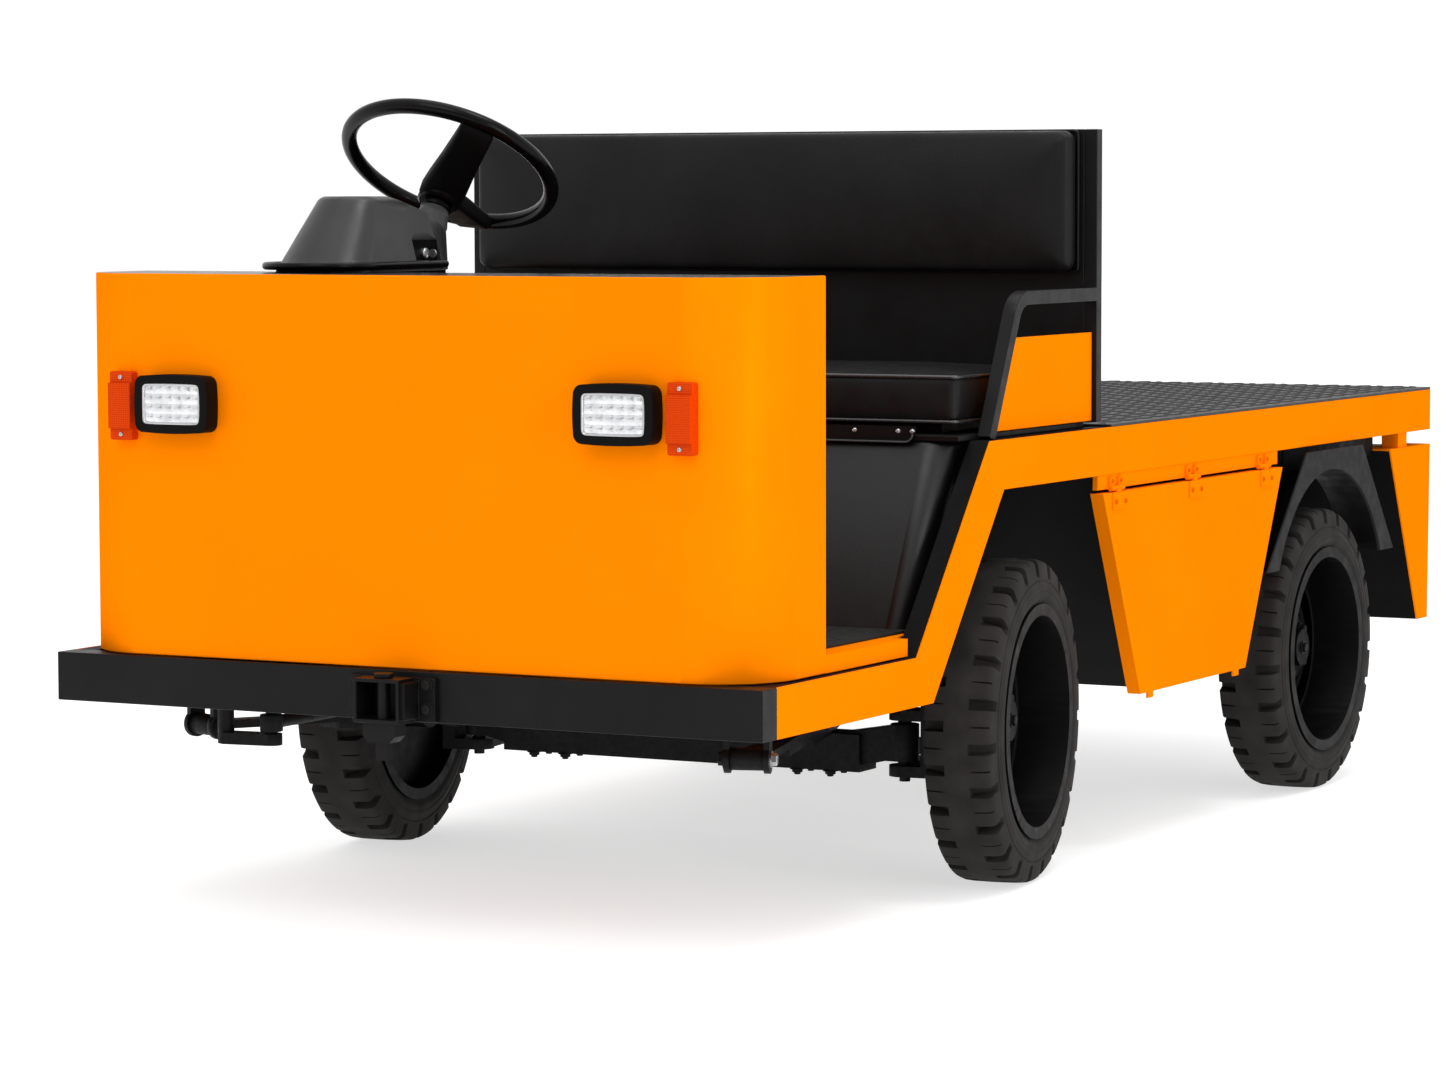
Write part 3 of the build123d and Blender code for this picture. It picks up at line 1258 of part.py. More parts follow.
def build():
    nodes = {
        "side_frames": side_frames(),
        "floor_frame": floor_frame(),
        "bed_frame": bed_frame(),
        "rear_rails": rear_rails(),
        "bumper": bumper(),
        "tow_hitch": tow_hitch(),
        "hitch_pin": hitch_pin(),
        "side_panels": side_panels(),
        "tail_panel": tail_panel(),
        "deck_plate": deck_plate(),
        "cowl": cowl(),
        "dash": dash(),
        "floor_pan": floor_pan(),
        "floor_mat": floor_mat(),
        "seat_box": seat_box(),
        "seat_base": seat_base(),
        "seat_cushion": seat_cushion(),
        "seat_back": seat_back(),
        "back_panel": back_panel(),
        "arm_rails": arm_rails(),
        "arm_panels": arm_panels(),
        "steering_pod": steering_pod(),
        "steering_column": steering_column(),
        "steering_wheel": steering_wheel(),
        "pedals": pedals(),
        "headlamp_bezels": headlamp_bezels(),
        "headlamp_lenses": headlamp_lenses(),
        "signal_lamps": signal_lamps(),
        "battery_tray": battery_tray(),
        "battery": battery(),
        "door_headers": door_headers(),
        "door_left": door_left(),
        "door_right": mirror(door_left(), about=Plane.XZ),
        "arch_flares": arch_flares(),
        "rear_guards": rear_guards(),
        "guard_linings": guard_linings(),
        "front_axle": front_axle(),
        "leaf_springs": leaf_springs(),
        "rear_axle": rear_axle(),
        "drive_motor": drive_motor(),
        "steering_box": steering_box(),
        "pitman_arm": pitman_arm(),
        "drag_link": drag_link(),
        "tie_rod": tie_rod(),
    }
    for name, side in (("left", 1), ("right", -1)):
        nodes[f"knuckle_{name}"] = steered(knuckle(side), side)
        front = wheel_place(FRONT_AXLE, side * WHEEL_Y, side)
        rear = wheel_place(REAR_AXLE, side * WHEEL_Y, side)
        nodes[f"tyre_front_{name}"] = steered(front * tyre(), side)
        nodes[f"rim_front_{name}"] = steered(front * rim(), side)
        nodes[f"tyre_rear_{name}"] = rear * tyre()
        nodes[f"rim_rear_{name}"] = rear * rim()
    return nodes


os.makedirs("parts", exist_ok=True)
for node, shape in build().items():
    export_step(shape, f"parts/{node}.step")
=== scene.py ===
import bmesh
import bpy
import json
import math
from mathutils import Matrix, Vector


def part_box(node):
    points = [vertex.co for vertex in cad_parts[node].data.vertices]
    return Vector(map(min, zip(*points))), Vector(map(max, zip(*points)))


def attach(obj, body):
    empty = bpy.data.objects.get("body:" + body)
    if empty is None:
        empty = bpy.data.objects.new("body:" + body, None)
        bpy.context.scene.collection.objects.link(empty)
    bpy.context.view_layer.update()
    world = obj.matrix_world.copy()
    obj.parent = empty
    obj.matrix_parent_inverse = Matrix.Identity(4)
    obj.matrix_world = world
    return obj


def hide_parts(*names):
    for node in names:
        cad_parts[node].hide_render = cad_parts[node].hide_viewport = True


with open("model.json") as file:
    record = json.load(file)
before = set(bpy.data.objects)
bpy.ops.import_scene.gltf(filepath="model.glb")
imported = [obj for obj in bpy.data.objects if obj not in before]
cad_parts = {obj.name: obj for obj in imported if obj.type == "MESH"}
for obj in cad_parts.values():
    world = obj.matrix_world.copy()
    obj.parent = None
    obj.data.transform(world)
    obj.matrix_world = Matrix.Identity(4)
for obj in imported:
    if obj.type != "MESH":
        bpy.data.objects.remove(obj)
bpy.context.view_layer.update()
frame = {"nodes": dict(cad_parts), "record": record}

# Directions and places: FACE is the bumper's face ahead of the origin, in metres
MM = 0.001
FACE = 1.25
UP = Vector((0, 0, 1))
AHEAD = Vector((1, 0, 0))
LEFT = Vector((0, 1, 0))


def spot(station, y, height):
    """A place from its distance behind the bumper's face, its side and its height, in millimetres."""
    return Vector((FACE - station * MM, y * MM, height * MM))


def in_metres(profile):
    """A profile's millimetres in metres."""
    return [(radius * MM, height * MM) for radius, height in profile]


# Camera
PHOTO_WIDTH = 1448.0
SENSOR = 36.0
FOCAL_PIXELS = 4511.87
CAMERA_PLACE = Vector((6.3009, 3.1830, 0.9898))
CAMERA_YAW = 28.02
CAMERA_PITCH = 4.44
CAMERA_ROLL = -0.13


def aim_camera():
    """A camera at the photograph's viewing point and angle."""
    yaw = math.radians(CAMERA_YAW)
    pitch = math.radians(CAMERA_PITCH)
    roll = math.radians(CAMERA_ROLL)
    ahead = Vector((-math.cos(yaw) * math.cos(pitch), -math.sin(yaw) * math.cos(pitch), -math.sin(pitch)))
    right = ahead.cross(UP).normalized()
    up = right.cross(ahead)
    level = math.cos(roll) * right + math.sin(roll) * up
    top = math.cos(roll) * up - math.sin(roll) * right
    camera = bpy.data.cameras.new("camera")
    camera.sensor_fit = "HORIZONTAL"
    camera.sensor_width = SENSOR
    camera.lens = FOCAL_PIXELS / PHOTO_WIDTH * SENSOR
    obj = bpy.data.objects.new("camera", camera)
    bpy.context.scene.collection.objects.link(obj)
    columns = Matrix((level, top, -ahead)).transposed().to_4x4()
    obj.matrix_world = Matrix.Translation(CAMERA_PLACE) @ columns
    bpy.context.scene.camera = obj


aim_camera()


# Materials: a noise swings between two values, and gloss drifts in finer patches than colour
SWING_START = 0.3
SWING_END = 0.7
GLOSS_FINENESS = 7


def begin(name, roughness, specular, metallic=0.0):
    """A new material's tree and shader."""
    material = bpy.data.materials.new(name)
    material.use_nodes = True
    shader = material.node_tree.nodes["Principled BSDF"]
    shader.inputs["Roughness"].default_value = roughness
    shader.inputs["Specular IOR Level"].default_value = specular
    shader.inputs["Metallic"].default_value = metallic
    return material, material.node_tree, shader


def laid_texture(tree, kind, scale):
    """A texture laid out in the model's own metres."""
    coords = tree.nodes.new("ShaderNodeTexCoord")
    texture = tree.nodes.new(kind)
    texture.inputs["Scale"].default_value = scale
    tree.links.new(coords.outputs["Object"], texture.inputs["Vector"])
    return texture


def noise(tree, scale, detail=3.0):
    """Soft patches."""
    texture = laid_texture(tree, "ShaderNodeTexNoise", scale)
    texture.inputs["Detail"].default_value = detail
    return texture.outputs["Fac"]


def cells(tree, scale):
    """Distances inside small cells, for a grain."""
    return laid_texture(tree, "ShaderNodeTexVoronoi", scale).outputs["Distance"]


def wave(tree, direction, scale):
    """Straight ribs across one axis."""
    texture = laid_texture(tree, "ShaderNodeTexWave", scale)
    texture.bands_direction = direction
    return texture.outputs["Fac"]


def colour_range(tree, shader, factor, low, high):
    """Base colour between two colours."""
    ramp = tree.nodes.new("ShaderNodeValToRGB")
    ramp.color_ramp.elements[0].position = SWING_START
    ramp.color_ramp.elements[1].position = SWING_END
    ramp.color_ramp.elements[0].color = (*low, 1)
    ramp.color_ramp.elements[1].color = (*high, 1)
    tree.links.new(factor, ramp.inputs["Fac"])
    tree.links.new(ramp.outputs["Color"], shader.inputs["Base Color"])


def roughness_range(tree, shader, factor, low, high):
    """Roughness between two values."""
    span = tree.nodes.new("ShaderNodeMapRange")
    span.inputs["From Min"].default_value = SWING_START
    span.inputs["From Max"].default_value = SWING_END
    span.inputs["To Min"].default_value = low
    span.inputs["To Max"].default_value = high
    tree.links.new(factor, span.inputs["Value"])
    tree.links.new(span.outputs["Result"], shader.inputs["Roughness"])


def bump(tree, shader, height, distance, strength):
    """Fine relief, its depth in metres."""
    node = tree.nodes.new("ShaderNodeBump")
    node.inputs["Strength"].default_value = strength
    node.inputs["Distance"].default_value = distance
    tree.links.new(height, node.inputs["Height"])
    earlier = shader.inputs["Normal"].links
    if earlier:
        tree.links.new(earlier[0].from_socket, node.inputs["Normal"])
    tree.links.new(node.outputs["Normal"], shader.inputs["Normal"])


def finish(name, low, high, rough, specular, grain, depth, strength, metallic=0.0, patches=6.0):
    """A finish with drifting colour and gloss, and a grain of its own scale."""
    material, tree, shader = begin(name, rough[0], specular, metallic)
    colour_range(tree, shader, noise(tree, patches), low, high)
    roughness_range(tree, shader, noise(tree, patches * GLOSS_FINENESS), *rough)
    bump(tree, shader, noise(tree, grain), depth, strength)
    return material


# Colours
ORANGE = (0.93, 0.212, 0.0002)
PALE_ORANGE = (0.97, 0.226, 0.0004)
ORANGE_SHEEN = (1.0, 0.45, 0.02, 1)
# Darker orange for the orange screws: painted shade standing in for the shadows round them
SHADED_ORANGE = (0.6, 0.1, 0.0002)
SOFT_SHADED_ORANGE = (0.68, 0.12, 0.0003)
AMBER = (0.66, 0.05, 0.0006)
DEEP_AMBER = (0.36, 0.018, 0.0003)
INK = (0.0012, 0.0012, 0.0013)
SOFT_INK = (0.0026, 0.0026, 0.0027)
VINYL = (0.0045, 0.0045, 0.0046)
SOFT_VINYL = (0.0075, 0.0075, 0.0077)
BLACK = (0.0050, 0.0050, 0.0052)
SOFT_BLACK = (0.0085, 0.0085, 0.0088)
STEEL = (0.010, 0.0098, 0.0095)
RUBBER = (0.014, 0.0131, 0.0126)
DUSTY_RUBBER = (0.027, 0.0252, 0.024)
GREY = (0.017, 0.017, 0.018)
SOFT_GREY = (0.024, 0.024, 0.0255)
PALE_GREY = (0.045, 0.045, 0.047)
SOFT_PALE_GREY = (0.06, 0.06, 0.062)
ZINC = (0.42, 0.42, 0.43)
BRIGHT_ZINC = (0.62, 0.62, 0.63)
GLASS = (0.6, 0.61, 0.63)
BRIGHT_GLASS = (0.8, 0.81, 0.82)
FLOOR_TONE = (0.52, 0.52, 0.52)
PALE_FLOOR_TONE = (0.54, 0.54, 0.54)

# Distance of the flares' outer plate from the truck's middle, in metres; nearer the middle the flares get
# painted shade
FLARE_PLATE = 0.5575
PRISM_SCALE = 105.0


def orange_look():
    """Flat orange paint with a faint orange peel."""
    material = finish("orange_paint", ORANGE, PALE_ORANGE, rough=(0.4, 0.5), specular=0.0,
                      grain=700.0, depth=0.0002, strength=0.1, metallic=0.18)
    shader = material.node_tree.nodes["Principled BSDF"]
    shader.inputs["Specular Tint"].default_value = ORANGE_SHEEN
    return material


def vinyl_look():
    """Black vinyl with a leather grain and soft creases."""
    material, tree, shader = begin("vinyl", roughness=0.4, specular=0.16)
    colour_range(tree, shader, noise(tree, 9.0), VINYL, SOFT_VINYL)
    roughness_range(tree, shader, noise(tree, 40.0), low=0.36, high=0.5)
    bump(tree, shader, noise(tree, 22.0, detail=2.0), distance=0.004, strength=0.12)
    bump(tree, shader, cells(tree, 900.0), distance=0.0005, strength=0.3)
    return material


def rubber_look():
    """Dull tyre rubber with dust and a fine grain."""
    material, tree, shader = begin("tyre", roughness=0.8, specular=0.12)
    colour_range(tree, shader, noise(tree, 30.0, detail=6.0), RUBBER, DUSTY_RUBBER)
    roughness_range(tree, shader, noise(tree, 60.0), low=0.72, high=0.92)
    bump(tree, shader, noise(tree, 500.0, detail=5.0), distance=0.0006, strength=0.3)
    return material


def signal_look():
    """Red-amber plastic with a fine square prism grid."""
    material, tree, shader = begin("signal_amber", roughness=0.25, specular=0.05, metallic=0.2)
    grid = tree.nodes.new("ShaderNodeMath")
    grid.operation = "MULTIPLY"
    tree.links.new(wave(tree, "Y", PRISM_SCALE), grid.inputs[0])
    tree.links.new(wave(tree, "Z", PRISM_SCALE), grid.inputs[1])
    colour_range(tree, shader, grid.outputs["Value"], AMBER, DEEP_AMBER)
    bump(tree, shader, grid.outputs["Value"], distance=0.0008, strength=0.3)
    roughness_range(tree, shader, noise(tree, 160.0), low=0.2, high=0.34)
    return material


def lens_look():
    """Bright pressed glass over a reflector."""
    material, tree, shader = begin("lamp_lens", roughness=0.12, specular=0.5, metallic=0.92)
    colour_range(tree, shader, noise(tree, 70.0), GLASS, BRIGHT_GLASS)
    roughness_range(tree, shader, noise(tree, 90.0), low=0.08, high=0.2)
    bump(tree, shader, noise(tree, 260.0), distance=0.0006, strength=0.25)
    return material


def guard_painted_shade_look():
    """Flare sheet: dull black on its outer plate, and darker in the arch behind it as painted shade."""
    material, tree, shader = begin("guard_black", roughness=0.55, specular=0.06)
    coords = tree.nodes.new("ShaderNodeTexCoord")
    parts = tree.nodes.new("ShaderNodeSeparateXYZ")
    tree.links.new(coords.outputs["Object"], parts.inputs["Vector"])
    width = tree.nodes.new("ShaderNodeMath")
    width.operation = "ABSOLUTE"
    tree.links.new(parts.outputs["Y"], width.inputs[0])
    outer = tree.nodes.new("ShaderNodeMath")
    outer.operation = "GREATER_THAN"
    outer.inputs[1].default_value = FLARE_PLATE
    tree.links.new(width.outputs["Value"], outer.inputs[0])
    # Inside the outer plate the flare takes the darker colour: painted shade in the arch
    colour_range(tree, shader, outer.outputs["Value"], INK, GREY)
    roughness_range(tree, shader, noise(tree, 45.0), low=0.5, high=0.68)
    bump(tree, shader, noise(tree, 700.0), distance=0.0005, strength=0.25)
    return material


# Finishes by slot
LOOKS = {
    "orange_paint": orange_look(),
    "black_frame": finish("black_frame", SOFT_INK, BLACK, rough=(0.36, 0.5), specular=0.15,
                          grain=1100.0, depth=0.0004, strength=0.16),
    "deck_black": finish("deck_black", SOFT_BLACK, STEEL, rough=(0.4, 0.58), specular=0.3,
                         grain=420.0, depth=0.0006, strength=0.2),
    "black_moulding": finish("black_moulding", INK, SOFT_INK, rough=(0.2, 0.3), specular=0.12,
                             grain=900.0, depth=0.0003, strength=0.1),
    "grey_moulding": finish("grey_moulding", GREY, SOFT_GREY, rough=(0.3, 0.4), specular=0.34,
                            grain=850.0, depth=0.0004, strength=0.2),
    "floor_rubber": finish("floor_rubber", BLACK, STEEL, rough=(0.6, 0.8), specular=0.2,
                           grain=600.0, depth=0.0006, strength=0.3),
    "vinyl": vinyl_look(),
    "tyre": rubber_look(),
    "rim_paint": finish("rim_paint", INK, SOFT_INK, rough=(0.4, 0.55), specular=0.06,
                        grain=500.0, depth=0.0004, strength=0.2),
    "axle_steel": finish("axle_steel", BLACK, STEEL, rough=(0.45, 0.7), specular=0.14,
                         grain=260.0, depth=0.0008, strength=0.3, patches=18.0),
    "bright_steel": finish("bright_steel", ZINC, BRIGHT_ZINC, rough=(0.24, 0.42), specular=0.5,
                           grain=700.0, depth=0.0002, strength=0.15, metallic=1.0),
    "lamp_lens": lens_look(),
    "signal_amber": signal_look(),
    "battery_case": finish("battery_case", SOFT_BLACK, GREY, rough=(0.5, 0.65), specular=0.4,
                           grain=500.0, depth=0.0005, strength=0.2),
}

# Finishes of single pieces
PANEL_VINYL = finish("panel_vinyl", INK, SOFT_INK, rough=(0.34, 0.42), specular=0.4,
                     grain=650.0, depth=0.0006, strength=0.25)
# Darker orange on the orange screws, as painted shade
ORANGE_PAINTED_SHADE = finish("orange_shade", SHADED_ORANGE, SOFT_SHADED_ORANGE, rough=(0.4, 0.5), specular=0.0,
                      grain=500.0, depth=0.0002, strength=0.1)
# Glossy piping in a grey lighter than the vinyl: real gloss, and a painted highlight along the cushion's
# edges
GLOSSY_PIPING_PAINTED_HIGHLIGHT = finish("piping_vinyl", GREY, SOFT_GREY, rough=(0.2, 0.3), specular=0.8,
                      grain=900.0, depth=0.0003, strength=0.2)
# Dull black, darker than the frame's own black: on the frames' sides and the guard linings it is painted
# shade
DULL_BLACK_AND_PAINTED_SHADE = finish("shade_black", INK, SOFT_INK, rough=(0.5, 0.65), specular=0.08,
                     grain=900.0, depth=0.0004, strength=0.2)
# Pale grey: the column boot's own colour, and a painted highlight on the bench strip's lip
BOOT_GREY_AND_PAINTED_HIGHLIGHT = finish("boot_grey", PALE_GREY, SOFT_PALE_GREY, rough=(0.4, 0.5), specular=0.2,
                   grain=700.0, depth=0.0004, strength=0.2)
# The frames' sides and the guard linings get a darker black as painted shade, and the flares painted shade in
# their arches
NODE_LOOKS = {
    "seat_box": PANEL_VINYL,
    "side_frames": DULL_BLACK_AND_PAINTED_SHADE,
    "arch_flares": guard_painted_shade_look(),
    "guard_linings": DULL_BLACK_AND_PAINTED_SHADE,
    "headlamp_bezels": DULL_BLACK_AND_PAINTED_SHADE,
}

# Rounded edges of the solids
EDGE_WIDTH = 1.4 * MM
EDGE_ANGLE = math.radians(38)
EDGE_STEPS = 2
WELD = 0.02 * MM
ROUND_NODES = ("tyre_front_left", "tyre_front_right", "tyre_rear_left", "tyre_rear_right", "steering_wheel")

for name, node in frame["nodes"].items():
    for entry in node.material_slots:
        slot = entry.material.name.split(".")[0]
        entry.material = NODE_LOOKS.get(name, LOOKS[slot])
    if name in ROUND_NODES:
        continue
    weld = node.modifiers.new("weld", "WELD")
    weld.merge_threshold = WELD
    edge = node.modifiers.new("edge", "BEVEL")
    edge.width = EDGE_WIDTH
    edge.segments = EDGE_STEPS
    edge.limit_method = "ANGLE"
    edge.angle_limit = EDGE_ANGLE
    edge.harden_normals = True


# Making pieces
def add_piece(name, vertices, faces, slot, body, sharp=35.0, look=None):
    """A mesh piece with its finish, riding on a body."""
    mesh = bpy.data.meshes.new(name)
    mesh.from_pydata([tuple(v) for v in vertices], [], faces)
    mesh.update()
    mesh.polygons.foreach_set("use_smooth", [True] * len(mesh.polygons))
    mesh.set_sharp_from_angle(angle=math.radians(sharp))
    mesh.materials.append(look or LOOKS[slot])
    obj = bpy.data.objects.new(name, mesh)
    bpy.context.scene.collection.objects.link(obj)
    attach(obj, body)
    return obj


def piping(name, points, radius, closed, slot, look=None):
    """A round bead along a line, on the chassis."""
    curve = bpy.data.curves.new(name, "CURVE")
    curve.dimensions = "3D"
    curve.bevel_depth = radius
    curve.bevel_resolution = 3
    spline = curve.splines.new("POLY")
    spline.points.add(len(points) - 1)
    for target, point in zip(spline.points, points):
        target.co = (*point, 1)
    spline.use_cyclic_u = closed
    curve.materials.append(look or LOOKS[slot])
    obj = bpy.data.objects.new(name, curve)
    bpy.context.scene.collection.objects.link(obj)
    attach(obj, "chassis")
    return obj


CORNER_STEPS = 6


def rounded_loop(half_a, half_b, radius, place):
    """A rectangle with round corners, handed to a function that puts each point in place."""
    points = []
    for quarter, (sa, sb) in enumerate(((1, 1), (-1, 1), (-1, -1), (1, -1))):
        for part in range(CORNER_STEPS + 1):
            angle = math.pi / 2 * (quarter + part / CORNER_STEPS)
            a = sa * (half_a - radius) + radius * math.cos(angle)
            b = sb * (half_b - radius) + radius * math.sin(angle)
            points.append(place(a, b))
    return points


def turned(store, place, axis, profile, sides):
    """Add a turned form, given as (radius, height) points from its foot to its top."""
    vertices, faces = store
    start = len(vertices)
    rise = axis.normalized()
    across = rise.orthogonal().normalized()
    other = rise.cross(across)
    for radius, height in profile:
        for index in range(sides):
            angle = 2 * math.pi * index / sides
            outward = across * math.cos(angle) + other * math.sin(angle)
            vertices.append(place + rise * height + outward * radius)
    for ring in range(len(profile) - 1):
        for index in range(sides):
            after = (index + 1) % sides
            low = start + ring * sides
            faces.append((low + index, low + after, low + sides + after, low + sides + index))
    faces.append(tuple(start + (len(profile) - 1) * sides + index for index in range(sides)))
    faces.append(tuple(start + index for index in reversed(range(sides))))


def slab(store, corners, shift):
    """Add a flat plate: its corners, and the same corners moved by its thickness."""
    vertices, faces = store
    start = len(vertices)
    count = len(corners)
    vertices.extend(corners)
    vertices.extend(corner + shift for corner in corners)
    faces.append(tuple(start + i for i in reversed(range(count))))
    faces.append(tuple(start + count + i for i in range(count)))
    for index in range(count):
        after = (index + 1) % count
        faces.append((start + index, start + after, start + count + after, start + count + index))


# Bolts and screws, in shares of a head's radius and height
WASHER_RADIUS = 1.35
WASHER_HEIGHT = 0.22
WASHER_SIDES = 20
CHAMFER_RADIUS = 0.86
CHAMFER_FOOT = 0.9
SCREW_SIDES = 16
SCREW_PROFILE = (
    # up the head's side, over its crown and down into the cross
    (1.0, 0.0), (1.0, 0.35), (0.8, 0.8), (0.42, 1.0), (0.3, 0.55),
)


def hex_bolt(store, place, axis, radius, height):
    """A washer and a hexagon head with a chamfered top."""
    wide = WASHER_RADIUS * radius
    washer = WASHER_HEIGHT * height
    turned(store, place, axis, [(wide, 0), (wide, washer)], WASHER_SIDES)
    head = [(radius, washer), (radius, CHAMFER_FOOT * height), (CHAMFER_RADIUS * radius, height)]
    turned(store, place, axis, head, 6)


def round_screw(store, place, axis, radius, height):
    """A round head with a sunk cross."""
    head = [(r * radius, h * height) for r, h in SCREW_PROFILE]
    turned(store, place, axis, head, SCREW_SIDES)


# Treads: a lozenge's outline in shares of its length and width, and how far its top draws in
LOZENGE = ((0.5, 0.0), (0.22, 0.42), (-0.22, 0.42), (-0.5, 0.0), (-0.22, -0.42), (0.22, -0.42))
LOZENGE_TOP = 0.62
LOZENGE_ANGLE = 45


def lozenges(name, node, pitch, length, width, height, margin, slot):
    """Raised lozenges in alternating directions over a node's top."""
    low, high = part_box(node)
    vertices = []
    faces = []
    count = len(LOZENGE)
    across = int((high.y - low.y - 2 * margin) / pitch)
    along = int((high.x - low.x - 2 * margin) / pitch)
    first_x = (low.x + high.x) / 2 - (along - 1) * pitch / 2
    first_y = (low.y + high.y) / 2 - (across - 1) * pitch / 2
    for row in range(along):
        for column in range(across):
            angle = math.radians(LOZENGE_ANGLE if (row + column) % 2 else -LOZENGE_ANGLE)
            start = len(vertices)
            for inner, lift in ((1.0, 0.0), (LOZENGE_TOP, height)):
                for a, b in LOZENGE:
                    x = a * length * (0.5 + 0.5 * inner)
                    y = b * width * inner
                    vertices.append((
                        first_x + row * pitch + x * math.cos(angle) - y * math.sin(angle),
                        first_y + column * pitch + x * math.sin(angle) + y * math.cos(angle),
                        high.z + lift,
                    ))
            top = start + count
            for index in range(count):
                after = (index + 1) % count
                faces.append((start + index, start + after, top + after, top + index))
            faces.append(tuple(top + index for index in range(count)))
    return add_piece(name, vertices, faces, slot, "chassis", sharp=50.0)


lozenges("deck_tread", "deck_plate", pitch=0.030, length=0.030, width=0.011, height=0.0016,
         margin=0.004, slot="deck_black")
lozenges("mat_tread", "floor_mat", pitch=0.022, length=0.022, width=0.009, height=0.0013,
         margin=0.012, slot="floor_rubber")


# Wheels, in millimetres from a wheel's middle
TYRE_HALF_PROFILE = (
    # distance from the middle, radius
    (0.0, 233.0), (9.0, 233.0), (17.4, 232.8), (18.2, 232.8), (30.0, 232.6), (41.0, 231.6),
    (45.5, 229.8), (48.2, 226.4), (49.6, 219.0), (50.9, 211.0), (51.8, 205.6), (52.1, 203.4),
    (51.2, 202.4), (51.4, 200.8), (52.8, 199.8), (53.7, 194.0), (54.5, 192.6), (54.9, 190.2),
    (54.8, 187.6), (54.4, 186.6), (55.4, 181.2), (55.0, 178.6), (53.0, 174.6), (46.6, 162.0), (46.0, 160.2),
)
SLOT_START = 17.8
SLOT_FLOOR = 220.0
SLOT_FALL = 15.0 / 38.0
SLOT_FOOT = 205.0
SIPE_SPAN = (19.0, 47.5)
SIPE_DEPTH = 5.0
LUGS = 46
LUG_COLUMNS = (
    # degrees from a slot's middle, share of the slot, share of the fine cut on the other shoulder
    (-1.98, 0.0, 0.0), (-1.74, 1.0, 0.0), (-0.32, 1.0, 0.0), (-0.2, 1.0, 1.0), (0.2, 1.0, 1.0),
    (0.32, 1.0, 0.0), (1.74, 1.0, 0.0), (1.98, 0.0, 0.0), (3.0, 0.0, 0.0), (4.83, 0.0, 0.0),
)
NUT_CIRCLE = 45.0
NUT_COUNT = 5
NUT = (8 * MM, 11 * MM)
CAP_NUT = (8 * MM, 7 * MM)
HUB_FACE = -8.0
CAP_FACE = 12.0
DISC_FACE = -17.5
RING_RADII = (84.0, 128.0)
RING_SECTION = ((-5, 0), (-3, 2.4), (3, 2.4), (5, 0))
RING_SIDES = 72


def tread_point(y, radius, slot, sipe):
    """A section point's radius in a column that has a share of slot and of fine cut."""
    floor = SLOT_FLOOR - (abs(y) - SLOT_START) * SLOT_FALL
    if abs(y) > SLOT_START and radius > SLOT_FOOT:
        radius += slot * (min(floor, radius) - radius)
    if SIPE_SPAN[0] < abs(y) < SIPE_SPAN[1]:
        radius -= sipe * SIPE_DEPTH
    return radius


def tyre_mesh(place):
    """The lugged tyre round its axle, set in a wheel's place."""
    section = [(-y, r) for y, r in reversed(TYRE_HALF_PROFILE[1:])]
    section.extend(TYRE_HALF_PROFILE)
    vertices = []
    step = 360.0 / LUGS
    for index in range(LUGS):
        for offset, slot, sipe in LUG_COLUMNS:
            angle = math.radians(index * step + offset)
            for y, r in section:
                cut = (y > 0) == (index % 2 == 0)
                radius = tread_point(y, r, slot if cut else 0.0, 0.0 if cut else sipe)
                point = Vector((radius * math.sin(angle), y, radius * math.cos(angle)))
                vertices.append(place @ point)
    count = len(section)
    columns = LUGS * len(LUG_COLUMNS)
    faces = []
    for column in range(columns):
        first = column * count
        second = ((column + 1) % columns) * count
        for row in range(count):
            after = (row + 1) % count
            faces.append((first + row, second + row, second + after, first + after))
    return vertices, faces


def wheel_frames():
    """Each wheel's body and its place: millimetres from its middle, with Y pointing out of the truck."""
    found = []
    for joint in frame["record"]["behaviour"]["joints"]:
        if not joint["name"].startswith("spin_"):
            continue
        body = joint["child"]
        outward = Vector(joint["axis"])
        if body.endswith("right"):
            outward = -outward
        columns = Matrix((outward.cross(UP), outward, UP)).transposed().to_4x4()
        place = Matrix.Translation(Vector(joint["pos_m"])) @ columns @ Matrix.Scale(MM, 4)
        found.append((body, place, outward))
    return found


def dress_wheel(body, place, outward):
    """A wheel's lugged tyre, its nuts and the pressed rings of its disc."""
    label = body.replace("wheel_", "")
    vertices, faces = tyre_mesh(place)
    tyre = add_piece("tread_" + label, vertices, faces, "tyre", body, sharp=32.0)
    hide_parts("tyre_" + label)
    nuts = ([], [])
    for index in range(NUT_COUNT):
        angle = 2 * math.pi * index / NUT_COUNT
        seat = place @ Vector((NUT_CIRCLE * math.cos(angle), HUB_FACE, NUT_CIRCLE * math.sin(angle)))
        hex_bolt(nuts, seat, outward, *NUT)
    hex_bolt(nuts, place @ Vector((0, CAP_FACE, 0)), outward, *CAP_NUT)
    add_piece("nuts_" + label, *nuts, "axle_steel", body)
    rings = ([], [])
    middle = place @ Vector((0, DISC_FACE, 0))
    for radius in RING_RADII:
        profile = [(radius + shift, height) for shift, height in RING_SECTION]
        turned(rings, middle, outward, in_metres(profile), RING_SIDES)
    add_piece("rings_" + label, *rings, "rim_paint", body)


for body, place, outward in wheel_frames():
    dress_wheel(body, place, outward)


# Cushions
PRESSURE = 4.0
SWELL_FRAMES = 20
CUSHION_SWELL = 9 * MM
BACK_SWELL = 8 * MM
PAD_EDGE = 7 * MM
BACK_EDGE = 15 * MM
EDGE_ROUNDING = 4
PAD_SKIN = 2 * MM
PAD_VOXEL = 7 * MM
HELD_BAND = 9 * MM
SEAM_INSET = 2.5 * MM
SEAM_BEAD = 2.6 * MM
BACK_SEAM_INSET = 3.0 * MM
BACK_SEAM_BEAD = 2.2 * MM


